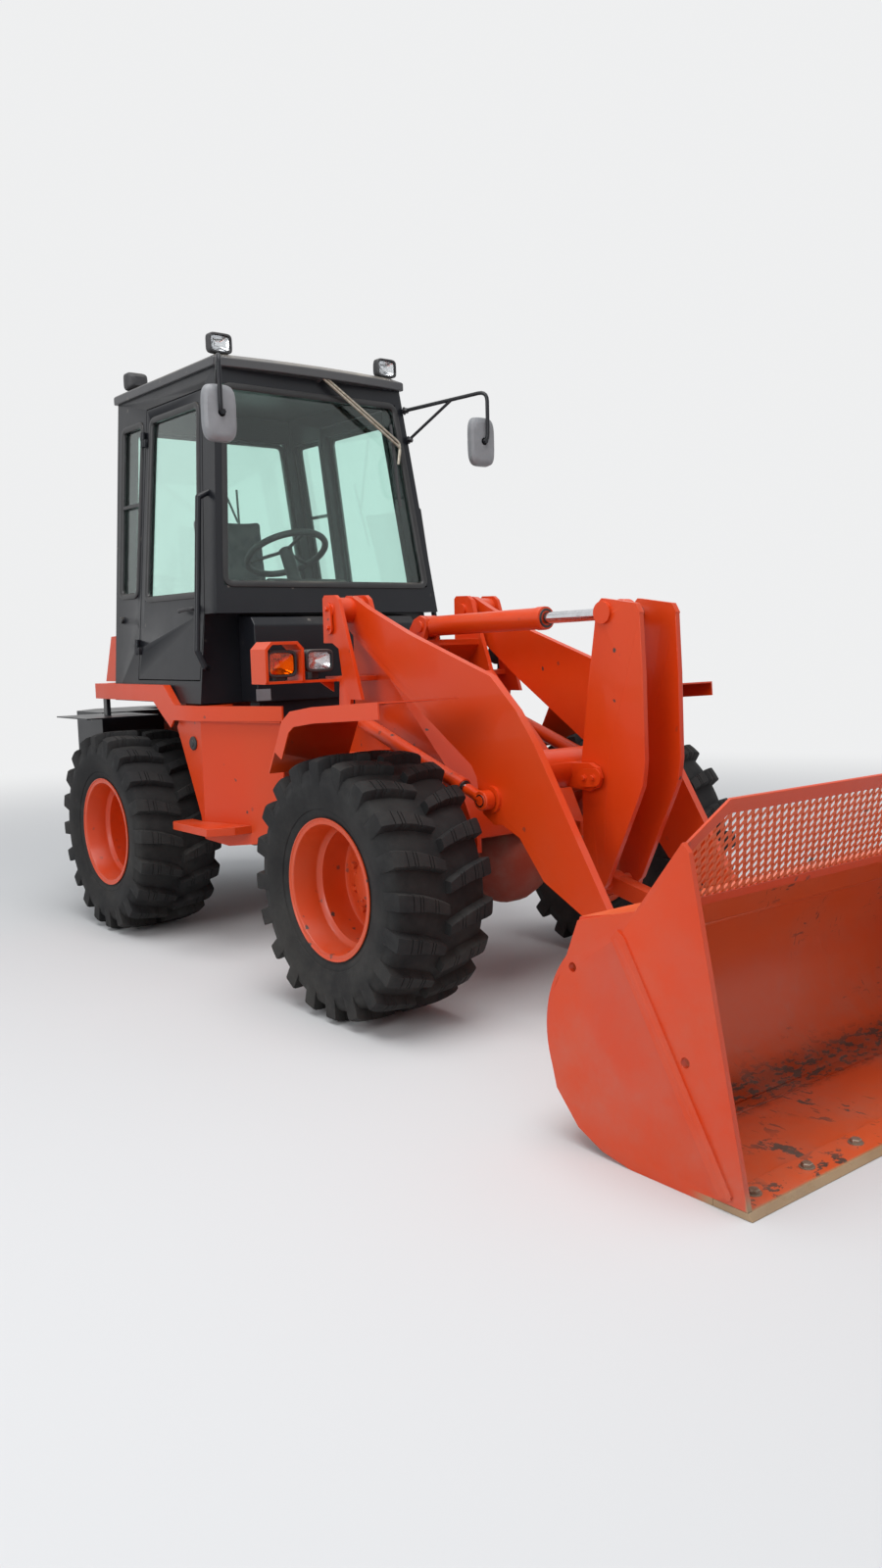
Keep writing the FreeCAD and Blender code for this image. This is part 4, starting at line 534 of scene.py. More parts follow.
ORANGE = (0.61, 0.043, 0.002)
ORANGE_FADED = (0.585, 0.050, 0.004)
STEEL_DARK = (0.05, 0.035, 0.03)
STEEL_PALE = (0.1, 0.09, 0.08)
orange_paint = paint("orange_paint", ORANGE, ORANGE_FADED, STEEL_DARK, coat=0.1, dust=0.14, ground=0.08,
                     shine=0.4)
boom_paint = paint("orange_boom_paint", ORANGE, ORANGE_FADED, STEEL_DARK, coat=0.1, dust=0.14, ground=0.08,
                   share=0.03, shine=0.4)
rim_paint = paint("orange_rim_paint", (0.60, 0.048, 0.004), (0.56, 0.06, 0.01), STEEL_DARK, coat=0.05,
                  dust=0.15, ground=0.05, share=0.24, chip_scale=30.0)
# A darker copy of the orange: painted shade for the frames, axles and engine block under the machine; its dust and
# chips are real.
shaded_frame_orange = paint("orange_frame_shaded_dark", (0.3, 0.032, 0.008), (0.23, 0.03, 0.012), STEEL_DARK,
                    roughness=0.5, coat=0.0, dust=0.6, ground=0.6, share=0.12)
black_paint = paint("black_paint", (0.008, 0.009, 0.012), (0.012, 0.013, 0.016), STEEL_PALE,
                    roughness=0.3, coat=0.0, dust=0.12, ground=0.1, share=0.02, shine=0.3)
roof_paint = paint("black_roof_paint", (0.035, 0.036, 0.04), (0.05, 0.05, 0.052), STEEL_PALE,
                   roughness=0.36, coat=0.2, dust=0.7, ground=0.0, share=0.03)
print("paints", len(bpy.data.materials))

# %% [markdown]
# Other finishes
# Rubber is dark, rough and dusty in its grooves. Glass on this cab has a green tint. The
# cylinder rods are chromed, the bucket is worn to steel where gravel slides, and the cab
# holds plastic and woven cloth. Each finish is a small function, with its detail driven
# by Object coordinates so that it stays on the piece in every pose.

# %% Rubber, glass, chrome and plastic
def tyre_rubber():
    """Dark rubber: lighter where dust lies, with a fine grain."""
    material, tree, shader, place = new_material("tyre_rubber", 0.78)
    cloud = ramp(tree, noise(tree, place, 5.0, 8.0, 0.7), "Fac", 0.4, 0.75)
    base = blend_colours(tree, cloud, 0, (0.008, 0.008, 0.009), (0.022, 0.022, 0.022))
    settled = placed(tree, DUST, {"Amount": 0.15, "Ground": 0.28})
    final = blend_colours(tree, settled, 0, (base, 2), (0.1, 0.092, 0.08))
    shader.inputs["Specular IOR Level"].default_value = 0.3
    join(tree, final, 2, shader, "Base Color")
    grain = noise(tree, place, 160.0, 5.0, 0.7)
    join(tree, bump_of(tree, grain, "Fac", 0.35, 0.0015), 0, shader, "Normal")
    return material


def tinted_glass(name, tint, roughness=0.02):
    """Window glass: a clear tinted sheet with a faint haze in cloudy patches."""
    material, tree, shader, place = new_material(name, roughness)
    shader.inputs["Transmission Weight"].default_value = 1.0
    shader.inputs["IOR"].default_value = 1.45
    haze = ramp(tree, noise(tree, place, 2.6, 7.0, 0.6), "Fac", 0.45, 0.9)
    base = blend_colours(tree, haze, 0, tint, tuple(0.93 * part for part in tint))
    join(tree, base, 2, shader, "Base Color")
    rough = put(tree, "ShaderNodeMapRange", {"To Min": roughness, "To Max": roughness + 0.05})
    join(tree, haze, 0, rough, "Value")
    join(tree, rough, 0, shader, "Roughness")
    return material


def bare_metal(name, colour, dark, roughness, metallic=1.0, scale=18.0, bump=0.2):
    """Bare metal: two tones in a cloudy pattern, and fine pitting."""
    material, tree, shader, place = new_material(name, roughness, metallic)
    cloud = ramp(tree, noise(tree, place, scale, 8.0, 0.65), "Fac", 0.35, 0.7)
    base = blend_colours(tree, cloud, 0, colour, dark)
    join(tree, base, 2, shader, "Base Color")
    rough = put(tree, "ShaderNodeMapRange", {"To Min": roughness, "To Max": min(1.0, roughness + 0.25)})
    join(tree, cloud, 0, rough, "Value")
    join(tree, rough, 0, shader, "Roughness")
    pits = noise(tree, place, scale * 12, 4.0, 0.6)
    join(tree, bump_of(tree, pits, "Fac", bump, 0.001), 0, shader, "Normal")
    return material


def moulded(name, colour, roughness=0.55, grain=320.0, dust=0.3):
    """Moulded plastic or rubber strip: even colour, fine grain, a little dust."""
    material, tree, shader, place = new_material(name, roughness)
    settled = placed(tree, DUST, {"Amount": dust, "Ground": 0.1})
    drift = ramp(tree, noise(tree, place, 9.0, 5.0, 0.6), "Fac", 0.3, 0.7)
    base = blend_colours(tree, drift, 0, colour, tuple(min(1.0, 1.25 * part + 0.004) for part in colour))
    final = blend_colours(tree, settled, 0, (base, 2), DUST_COLOUR)
    join(tree, final, 2, shader, "Base Color")
    skin = noise(tree, place, grain, 3.0, 0.6)
    join(tree, bump_of(tree, skin, "Fac", 0.12, 0.0008), 0, shader, "Normal")
    return material


rubber = tyre_rubber()
window_glass = tinted_glass("green_window_glass", (0.74, 0.93, 0.87))
clear_lens = tinted_glass("clear_lens", (0.95, 0.96, 0.96))
amber_lens = tinted_glass("amber_lens", (1.0, 0.33, 0.02), 0.08)
chrome = bare_metal("chrome_rod", (0.72, 0.73, 0.75), (0.6, 0.61, 0.63), 0.08, bump=0.02)
reflector = bare_metal("lamp_reflector", (0.82, 0.83, 0.85), (0.7, 0.71, 0.73), 0.1, bump=0.05)
worn_steel = bare_metal("worn_edge_steel", (0.36, 0.31, 0.25), (0.2, 0.13, 0.08), 0.45, 0.75, 26.0, 0.5)
zinc = bare_metal("zinc_fitting", (0.5, 0.47, 0.4), (0.3, 0.26, 0.2), 0.4, 0.9, 60.0, 0.2)
seal_rubber = moulded("window_rubber", (0.012, 0.012, 0.013), 0.42)
black_plastic = moulded("black_plastic", (0.022, 0.022, 0.024))
grey_plastic = moulded("mirror_shell_plastic", (0.17, 0.175, 0.185), 0.4, dust=0.1)


def seat_cloth():
    """Woven cloth: crossed waves make the weave, with a slow drift in colour."""
    material, tree, shader, place = new_material("seat_cloth", 0.92)
    across = put(tree, "ShaderNodeTexWave", {"Scale": 240.0}, wave_type="BANDS", bands_direction="Y")
    along = put(tree, "ShaderNodeTexWave", {"Scale": 240.0}, wave_type="BANDS", bands_direction="DIAGONAL")
    for wave in (across, along):
        join(tree, place, "Object", wave, "Vector")
    weave = product(tree, (across, "Fac"), (along, "Fac"))
    drift = ramp(tree, noise(tree, place, 12.0, 5.0), "Fac", 0.3, 0.7)
    shade = maths(tree, "MULTIPLY_ADD", (weave, 0), 0.6)
    join(tree, drift, 0, shade, 2)
    shade.use_clamp = True
    base = blend_colours(tree, shade, 0, (0.03, 0.031, 0.034), (0.1, 0.1, 0.105))
    join(tree, base, 2, shader, "Base Color")
    join(tree, bump_of(tree, weave, 0, 0.5, 0.0015), 0, shader, "Normal")
    return material


cloth = seat_cloth()


def strokes(tree, place, tilt, scale, low, high):
    """Scratches: noise stretched along a tilted line, cut to its highest parts."""
    stretch = put(tree, "ShaderNodeMapping")
    stretch.inputs["Rotation"].default_value = (tilt, 0.0, 0.0)
    stretch.inputs["Scale"].default_value = scale
    join(tree, place, "Object", stretch, "Vector")
    grain = put(tree, "ShaderNodeTexNoise", {"Scale": 1.0, "Detail": 4.0, "Roughness": 0.6})
    join(tree, stretch, 0, grain, "Vector")
    return ramp(tree, grain, "Fac", low, high)


def bucket_paint():
    """Bucket paint: orange; gravel scratches the inside, stains its bend and wears the lip to bare steel."""
    material, tree, shader, place = new_material("bucket_paint", 0.42, coat=0.06)
    shader.inputs["Specular IOR Level"].default_value = 0.38
    drift = ramp(tree, noise(tree, place, 1.9, 5.0, 0.6), "Fac", 0.35, 0.7)
    clean = blend_colours(tree, drift, 0, ORANGE, ORANGE_FADED)
    split = put(tree, "ShaderNodeSeparateXYZ")
    join(tree, place, "Object", split, "Vector")
    aside = maths(tree, "ABSOLUTE", (split, "Y"), 0.0)
    between = ramp(tree, aside, 0, 0.917, 0.914)
    inside = product(tree, ramp(tree, split, "X", 1.66, 1.70), between)
    pale = blend_colours(tree, inside, 0, (clean, 2), (0.66, 0.10, 0.026))
    # The stained bend between back and floor
    before, behind = ramp(tree, split, "X", 1.80, 1.87), ramp(tree, split, "X", 1.99, 1.92)
    bend = product(tree, before, behind, ramp(tree, split, "Z", 0.12, 0.08), inside)
    stain = maths(tree, "MULTIPLY", (bend, 0), 0.75)
    stained = blend_colours(tree, stain, 0, (pale, 2), (0.24, 0.035, 0.006))
    # Scratches: clustered on the back, dense in the bend, scuffs by the lip
    clusters = ramp(tree, noise(tree, place, 3.2, 2.0), "Fac", 0.47, 0.62)
    falling = strokes(tree, place, 0.75, (14.0, 15.0, 60.0), 0.605, 0.64)
    rising = strokes(tree, place, -0.6, (14.0, 60.0, 17.0), 0.62, 0.655)
    crossed = maths(tree, "MAXIMUM", (falling, 0), (rising, 0))
    few = product(tree, crossed, clusters, inside)
    many = product(tree, strokes(tree, place, 0.2, (55.0, 26.0, 55.0), 0.50, 0.58), bend)
    near_lip = product(tree, ramp(tree, split, "X", 2.20, 2.31), between)
    scuffed = product(tree, strokes(tree, place, 0.0, (30.0, 22.0, 30.0), 0.56, 0.62), near_lip)
    share = maths(tree, "MAXIMUM", (few, 0), (many, 0))
    share = maths(tree, "MAXIMUM", (share, 0), (scuffed, 0))
    worn = blend_colours(tree, share, 0, (stained, 2), (0.075, 0.042, 0.030))
    # Bare steel: the lip's front, and the blade's ends below the side plates
    front = ramp(tree, split, "X", 2.327, 2.338)
    ends = product(tree, ramp(tree, aside, 0, 0.918, 0.926), ramp(tree, split, "Z", 0.020, 0.017),
                   ramp(tree, split, "X", 2.16, 2.24))
    bare = maths(tree, "MAXIMUM", (front, 0), (ends, 0))
    steel = blend_colours(tree, drift, 0, (0.40, 0.27, 0.15), (0.30, 0.17, 0.08))
    lipped = blend_colours(tree, bare, 0, (worn, 2), (steel, 2))
    settled = placed(tree, DUST, {"Amount": 0.08, "Ground": 0.2})
    final = blend_colours(tree, settled, 0, (lipped, 2), DUST_COLOUR)
    join(tree, final, 2, shader, "Base Color")
    rough = maths(tree, "MULTIPLY_ADD", (share, 0), 0.25)
    rough.inputs[2].default_value = 0.4
    join(tree, rough, 0, shader, "Roughness")
    pit = bump_of(tree, share, 0, 0.4, 0.0015)
    pit.invert = True
    join(tree, pit, 0, shader, "Normal")
    return material


bucket_orange = bucket_paint()
print("finishes", len(bpy.data.materials))

# %% [markdown]
# CAD plates, dressed
# Most of the machine is plate and casting whose shape is right. Those nodes are copied
# with soft edges from one table: the node, the radius of its edges and its finish.

# %% Dressed nodes
# The rear frame, the axles and the engine block take the darker orange, which is painted shade.
DRESSED = [
    ("front_frame", 0.003, orange_paint), ("front_fenders", 0.0, orange_paint), ("boom", 0.003, boom_paint),
    ("bell_crank", 0.0006, boom_paint), ("bucket_link", 0.003, boom_paint), ("bucket", 0.002, bucket_orange),
    ("bucket_edge", 0.002, bucket_orange), ("rear_frame", 0.002, shaded_frame_orange),
    ("front_axle", 0.003, shaded_frame_orange), ("rear_axle", 0.003, shaded_frame_orange),
    ("body_sides", 0.002, orange_paint), ("tank_steps", 0.002, orange_paint),
    ("mudguards", 0.001, black_paint), ("counterweight", 0.012, black_paint),
    ("engine_block", 0.006, shaded_frame_orange), ("engine_hood", 0.003, orange_paint),
    ("rear_grille", 0.001, black_paint), ("cab_shell", 0.004, black_paint), ("door_left", 0.003, black_paint),
    ("door_right", 0.003, black_paint), ("cab_roof", 0.006, roof_paint), ("cowl", 0.006, black_paint),
    ("cab_fittings", 0.006, black_plastic),
]
for node, width, finish in DRESSED:
    dress(softened(node, width, mend=flush_inside if node == "bucket" else None), finish)

# Panes, cylinders and rails are fine as they are and only take their finish
KEPT = {
    window_glass: ("cab_glass", "door_glass_left", "door_glass_right"),
    orange_paint: ("tilt_barrel", "lift_barrel_left", "lift_barrel_right"),
    chrome: ("tilt_rod", "lift_rod_left", "lift_rod_right", "steer_rod"),
    black_paint: ("steer_barrel", "grab_rails"),
}
for finish, nodes in KEPT.items():
    for node in nodes:
        dress(NODES[node], finish)
print("dressed", len(DRESSED), "kept", sum(map(len, KEPT.values())))

# %% [markdown]
# Tyres with chevron lugs
# The carcass is one turned profile. A lug is a grid too: each row crosses the lug at one
# distance from the tyre's middle, and the rows' edges swing round the tyre to make the
# chevron. Pairs of rows that dip make the sipes. One lug becomes twenty by turning its
# whole array, and the other half of the tread is the same, mirrored and half a pitch on.

# %% Tyres
TYRE_OUT, LUG_COUNT = 0.467, 20
CARCASS = [(0.160, 0.2375), (0.167, 0.2385), (0.1672, 0.2545), (0.1715, 0.262), (0.1775, 0.275),
           (0.1775, 0.283), (0.1815, 0.285), (0.1885, 0.305), (0.1945, 0.334), (0.197, 0.362),
           (0.1955, 0.378), (0.1935, 0.380), (0.191, 0.395), (0.184, 0.411), (0.170, 0.422),
           (0.130, 0.4295), (0.070, 0.4335), (0.0, 0.4345)]
# Rows of a lug: across the tread, first edge and last edge along it, radius of its top (all in metres)
LUG_ROWS = [(0.004, 0.004, 0.042, 0.4665), (0.030, -0.009, 0.0335, 0.4670), (0.060, -0.0215, 0.025, 0.4670),
            (0.090, -0.033, 0.0165, 0.4668), (0.125, -0.043, 0.0115, 0.4655), (0.158, -0.0505, 0.008, 0.4615),
            (0.182, -0.056, 0.005, 0.4560), (0.1955, -0.058, 0.0035, 0.4475), (0.1968, -0.056, 0.002, 0.4120)]
SIPES = (0.052, 0.064, 0.112, 0.124, 0.148)


def lug_rows():
    """The table's rows with a dip of 4 mm at each sipe, ordered across the tread."""
    table = np.array(LUG_ROWS)
    dips = []
    for middle in SIPES:
        for shift, drop in ((-0.0018, 0.0), (-0.0014, 0.004), (0.0014, 0.004), (0.0018, 0.0)):
            place = middle + shift
            edges_and_top = [np.interp(place, table[:, 0], table[:, k]) for k in (1, 2, 3)]
            dips.append([place, *edges_and_top, drop])
    rows = np.vstack([np.column_stack([table, np.zeros(len(table))]), np.array(dips)])
    return rows[np.argsort(rows[:, 0])]


def lug_points():
    """One lug at angle 0, as (rows, 10, 3): foot, flank, chamfer, top, chamfer, flank, foot, then below."""
    across, first, last, top, drop = lug_rows().T
    floor = np.interp(across, [0.0, 0.07, 0.13, 0.17, 0.184, 0.197], [0.430, 0.429, 0.425, 0.416, 0.402, 0.372])
    high = top - drop
    middle = (first + last) / 2
    edges = [first - 0.006, first, first + 0.0035, middle, last - 0.0035, last, last + 0.006,
             last + 0.006, middle, first - 0.006]
    radii = [floor, high - 0.005, high, high + 0.0006, high, high - 0.005, floor,
             floor - 0.01, floor - 0.012, floor - 0.01]
    edges, radii = np.array(edges).T, np.array(radii).T
    angle = edges / TYRE_OUT
    spread = np.repeat(across[:, None], edges.shape[1], axis=1)
    ring = np.stack([radii * np.sin(angle), spread, radii * np.cos(angle)], axis=2)
    ends = [np.tile(ring[k].mean(axis=0), (1, ring.shape[1], 1)) for k in (0, -1)]
    return np.concatenate([ends[0], ring, ends[1]])


def turned_copies(points, shift):
    """Copies of a lug round Y: point' = R(angle_k) point for all k at once."""
    angle = (np.arange(LUG_COUNT) + shift) * TAU / LUG_COUNT
    c, s = np.cos(angle), np.sin(angle)
    zero, one = np.zeros_like(c), np.ones_like(c)
    turn = np.array([[c, zero, s], [zero, one, zero], [-s, zero, c]]).transpose(2, 0, 1)
    return np.einsum("kij,rcj->krci", turn, points)


def tyre_piece(label, side):
    """Carcass and forty lugs, moved to the wheel's centre."""
    centre = middle_of(f"tyre_{label}")
    profile = [(-a, r) for a, r in CARCASS[:-1]] + [(a, r) for a, r in reversed(CARCASS)]
    parts = [turned_part(profile + profile[:1], (0, 1, 0), centre, 144)]
    lug = lug_points()
    faces = grid_faces(lug.shape[0], lug.shape[1], close_columns=True)
    for mirror, shift in ((1.0, 0.0), (-1.0, 0.5)):
        copies = turned_copies(lug * np.array([1.0, mirror, 1.0]), shift)
        copies = copies * np.array([1.0, side, 1.0]) + centre
        starts = np.arange(LUG_COUNT)[:, None, None] * lug.shape[0] * lug.shape[1]
        parts.append((copies.reshape(-1, 3), (faces[None] + starts).reshape(-1, 4)))
    return joined(f"tyre_{label}_dressed", parts, 42.0)


WHEELS = [("front_left", 1), ("front_right", -1), ("rear_left", 1), ("rear_right", -1)]
for label, side in WHEELS:
    tyre = dress(tyre_piece(label, side), rubber, body_of(f"tyre_{label}"))
    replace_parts(tyre, f"tyre_{label}")
print("tyres", len(WHEELS), "lugs a tyre", 2 * LUG_COUNT)

# %% [markdown]
# Deep rims
# The rim is turned from a profile with its flange, bead seat, drop well, dished disc and
# hub. Wheel nuts stand on the disc, and smaller bolts ring the hub.

# %% Rims
RIM = [(-0.175, 0.2475), (-0.1748, 0.2512), (-0.172, 0.2519), (-0.169, 0.2508), (-0.1672, 0.2470),
       (-0.1668, 0.2352), (-0.078, 0.2338), (-0.072, 0.2325), (-0.060, 0.2165), (-0.054, 0.2150),
       (0.054, 0.2150), (0.060, 0.2165), (0.072, 0.2325), (0.078, 0.2338), (0.1668, 0.2352),
       (0.1672, 0.2470), (0.169, 0.2508), (0.172, 0.2519), (0.1748, 0.2512), (0.175, 0.2475),
       (0.1712, 0.2440), (0.1705, 0.2300), (0.166, 0.2275), (0.120, 0.2262), (0.116, 0.2240),
       (0.079, 0.2235), (0.073, 0.2215), (0.060, 0.2065), (0.030, 0.2050), (-0.028, 0.2045),
       (-0.037, 0.2020), (-0.0415, 0.1940), (-0.0425, 0.1760), (-0.0385, 0.1660), (-0.0380, 0.1130),
       (-0.0400, 0.1060), (-0.0380, 0.0985), (-0.020, 0.0945), (0.002, 0.0800), (0.006, 0.0760),
       (0.008, 0.0640), (0.0165, 0.0600), (0.018, 0.0560), (0.018, 0.0)]
RIM_BACK = [(-0.100, 0.0), (-0.105, 0.047), (-0.105, 0.0925), (-0.103, 0.0950), (-0.062, 0.0950),
            (-0.059, 0.0990), (-0.059, 0.2000), (-0.062, 0.2062), (-0.076, 0.2252), (-0.168, 0.2275),
            (-0.1705, 0.2300), (-0.1712, 0.2440)]
# Rings of hexagon heads: how many, radius of the ring, place on the axis, size across and height
RIM_HEADS = ((10, 0.1375, -0.0380, 0.024, 0.017), (8, 0.0690, 0.0070, 0.013, 0.008))
HUB_FIN = ((-0.036, 0.118), (-0.036, 0.040), (0.016, 0.040), (0.014, 0.056))


def rim_piece(label, side):
    centre, axis = middle_of(f"rim_{label}"), (0, side, 0)
    parts = [turned_part(RIM_BACK + RIM, axis, centre, 128)]
    for count, ring, place, size, tall in RIM_HEADS:
        angle = (np.arange(count) + 0.5) * TAU / count
        spots = np.stack([ring * np.cos(angle), 0 * angle + side * place, ring * np.sin(angle)], axis=1)
        parts += hex_heads(centre + spots, axis, size, tall)
    return joined(f"rim_{label}_dressed", parts, 34.0)


def hub_fins(label, side):
    """Two flat fins that stiffen the hub, as on the rear wheels."""
    parts = []
    for angle in (0.6, 0.6 + np.pi):
        out = np.array([np.cos(angle), 0, np.sin(angle)])
        half_thick = np.array([-np.sin(angle), 0, np.cos(angle)]) * 0.004
        corners = np.array([out * r + np.array([0, side * a, 0]) for a, r in HUB_FIN])
        corners += middle_of(f"rim_{label}")
        parts.append(prism(corners - half_thick, corners + half_thick))
    return joined(f"hub_fins_{label}", parts)


for label, side in WHEELS:
    wheel_body = body_of(f"rim_{label}")
    rim = dress(rim_piece(label, side), rim_paint, wheel_body)
    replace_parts(rim, f"rim_{label}")
    if label.startswith("rear"):
        dress(hub_fins(label, side), rim_paint, wheel_body)
print("rims", len(WHEELS))

# %% [markdown]
# Lamps
# A lamp is a rounded box: rings of a superellipse, |y/a|^n + |z/b|^n = 1, follow its
# depth. The housing turns in at the bezel, a bowl makes the reflector, and a domed lens
# of real thickness closes it. One function makes head, turn and roof lamps from a table.

# %% Lamps
def rounded_rings(stations, centre, facing, power=5.0, steps=56):
    """Rings of a superellipse along X: stations hold (depth behind the face, half width, half height)."""
    angle = np.linspace(0, TAU, steps, endpoint=False)
    y = np.sign(np.cos(angle)) * np.abs(np.cos(angle)) ** (2 / power)
    z = np.sign(np.sin(angle)) * np.abs(np.sin(angle)) ** (2 / power)
    stations = np.asarray(stations, float)
    depth, wide, tall = stations[:, :1], stations[:, 1:2], stations[:, 2:3]
    ring = np.stack([-facing * depth + 0 * y, wide * y, tall * z], axis=2)
    return ring + np.asarray(centre, float)


def ring_part(stations, centre, facing, power=5.0):
    points = rounded_rings(stations, centre, facing, power)
    return points, grid_faces(points.shape[0], points.shape[1], close_columns=True)


def lamp(name, face, half_wide, half_tall, deep, facing, body, lens_material):
    """Housing, reflector and lens of one lamp whose face lies at a point and looks along X."""
    a, b = half_wide, half_tall
    shell = [(deep, 0, 0), (deep, 0.55 * a, 0.5 * b), (deep - 0.008, 0.8 * a, 0.76 * b),
             (0.55 * deep, a, b), (0.004, a, b), (0.0, a - 0.003, b - 0.003), (0.0, a - 0.009, b - 0.009),
             (0.006, a - 0.010, b - 0.010), (0.012, a - 0.011, b - 0.011),
             (0.55 * deep, 0.5 * a, 0.5 * b), (0.62 * deep, 0, 0)]

    def bowl(depth, shares):
        return [(depth + (1 - s ** 2) * 0.4 * deep, s * (a - 0.012), s * (b - 0.012)) for s in shares]

    def dome(depth, inset, shares):
        return [(depth - 0.006 * np.cos(s * np.pi / 2), s * (a - inset), s * (b - inset)) for s in shares]

    def piece(part, stations, finish, smooth_angle=40.0):
        form = joined(f"{name}_{part}", [ring_part(stations, face, facing)], smooth_angle)
        dress(form, finish, body)

    inwards, outwards = np.linspace(1.0, 0.0, 9), np.linspace(0, 1, 7)
    piece("housing", shell, black_plastic, 30.0)
    piece("reflector", bowl(0.012, inwards) + bowl(0.0132, inwards[::-1]), reflector)
    piece("lens", dome(0.005, 0.0095, outwards) + dome(0.009, 0.0105, outwards[::-1]), lens_material)


front_body = body_of("head_lamps")
cab_body = body_of("cab_shell")
(_, _, SHELF_TOP_Z), (LAMP_FACE_X, _, _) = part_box("head_lamps")
# Lamps: distance behind the foremost face, across and up; half width, half height, depth
FRONT_LAMPS = [("head", 0.0, 0.493, 1.252, (0.063, 0.044, 0.093), clear_lens),
               ("turn", 0.012, 0.656, 1.244, (0.066, 0.052, 0.068), amber_lens)]
# Feet: distance of the front behind that face, across, half width and top
FRONT_FEET = [(0.038, 0.495, 0.015, 1.216), (0.028, 0.656, 0.02, 1.2)]
for side_name, side in SIDES:
    for kind, behind, across, up, size, lens in FRONT_LAMPS:
        place = (LAMP_FACE_X - behind, side * across, up)
        lamp(f"{kind}_lamp_{side_name}", place, *size, 1, front_body, lens)
    feet = [block((LAMP_FACE_X - behind - 0.030, side * across - half, SHELF_TOP_Z),
                  (LAMP_FACE_X - behind, side * across + half, top))
            for behind, across, half, top in FRONT_FEET]
    feet_piece = dress(joined(f"lamp_feet_{side_name}", feet), black_plastic, front_body)
    if side > 0:
        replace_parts(feet_piece, "head_lamps")
work_low, work_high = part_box("work_lamps")
ROOF_TOP_Z, WORK_LAMP_Z = 2.5602, 2.6065
for end_name, face_x, facing, across in (("front", work_high[0], 1, 0.44), ("rear", work_low[0], -1, 0.42)):
    for side_name, side in SIDES:
        label, y, foot_x = f"{end_name}_{side_name}", side * across, face_x - facing * 0.036
        lamp(f"work_lamp_{label}", (face_x, y, WORK_LAMP_Z), 0.056, 0.0425, 0.06, facing, cab_body,
             clear_lens)
        foot = block((foot_x - 0.010, y - 0.012, ROOF_TOP_Z), (foot_x + 0.010, y + 0.012, 2.57))
        foot = dress(joined(f"work_lamp_foot_{label}", [foot]), zinc, cab_body)
        if (end_name, side) == ("front", 1):
            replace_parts(foot, "work_lamps")
print("lamps", 8)

# %% [markdown]
# Pins, glands and rod eyes
# Each pivot shows the end of its pin, held from turning by a small plate with two bolts.
# Their places come from the joints, so they sit on the real axes. An orange gland ring
# with a dark wiper seal closes each barrel, and each rod ends in an orange eye. Two plates
# add the forward bulge of the bell crank's elbow.

# %% Pins and glands
JOINTS = {joint["name"]: joint for joint in frame["record"]["behaviour"]["joints"]}


def pivot(name):
    return np.array(JOINTS[name]["pos_m"], float)


def slide_direction(name):
    axis = np.array(JOINTS[name]["axis"], float)
    return axis / np.linalg.norm(axis)


def pin_end(centre, side, radius):
    """The end of a pin: a chamfered disc with a grease nipple in its middle."""
    profile = [(-0.001, 0), (-0.001, radius), (0.0035, radius), (0.006, radius - 0.0025), (0.006, 0.006),
               (0.009, 0.0055), (0.012, 0.003), (0.016, 0.003), (0.016, 0)]
    return [turned_part(profile, (0, side, 0), centre, 40)]


def keeper(centre, side, angle, long, wide, thick=0.008):
    """A flat bar with rounded ends across a pin's edge, and its two bolts."""
    turn = np.linspace(-np.pi / 2, np.pi / 2, 9)
    cap = np.stack([long / 2 - wide / 2 + wide / 2 * np.cos(turn), wide / 2 * np.sin(turn)], axis=1)
    c, s = np.cos(angle), np.sin(angle)
    flat = np.vstack([cap, -cap]) @ np.array([[c, s], [-s, c]]) + np.array([centre[0], centre[2]])
    outer_y, reach = centre[1] + side * thick, long / 2 - wide * 0.55
    spots = [np.array([centre[0] + k * c * reach, outer_y, centre[2] + k * s * reach]) for k in (-1, 1)]
    return [slab(flat, centre[1], outer_y)] + hex_heads(spots, (0, side, 0), 0.016, 0.009)


# Pin ends: body, pivot, distance out from the middle, pin radius (0 where a plate hides it),
# the keeper's shift, angle, length and width
PINS = [("front_body", "boom_lift", 0.4235, 0.0, (-0.004, -0.032), 1.66, 0.124, 0.046),
        ("front_body", "lift_barrel_left_turn", 0.4238, 0.024, (0.012, -0.030), 0.3, 0.075, 0.028),
        ("boom_body", "bucket_tilt", 0.3635, 0.024, (-0.030, 0.012), 1.2, 0.080, 0.030),
        ("boom_body", "bell_crank_turn", 0.1335, 0.0, (0.012, 0.0), 0.1, 0.110, 0.062)]
for number, (body, joint, out, radius, shift, *bar) in enumerate(PINS):
    parts = []
    for _, side in SIDES:
        centre = pivot(joint) * np.array([1, 0, 1]) + np.array([0, side * out, 0])
        parts += pin_end(centre, side, radius) if radius else []
        parts += keeper(centre + np.array([shift[0], side * 0.0003, shift[1]]), side, *bar)
    dress(joined(f"pivot_keepers_{number}", parts, 30.0), orange_paint, body)


def gland_ring(name, mouth, direction, radius):
    """The gland's ring round the barrel's mouth."""
    profile = [(-0.034, radius - 0.0045), (-0.034, radius), (-0.006, radius), (-0.004, radius - 0.002),
               (0.003, radius - 0.003), (0.004, radius * 0.66), (0.004, radius * 0.62)]
    return surface(name, turned(profile, direction, mouth, 48), close_rows=True)


def gland_wiper(name, mouth, direction, radius):
    """The dark seal that wipes the rod, just inside the gland's ring."""
    profile = [(0.0035, radius * 0.82), (0.0062, radius * 0.8), (0.0062, radius * 0.64),
               (0.0035, radius * 0.64)]
    return surface(name, turned(profile, direction, mouth, 40), True, True)


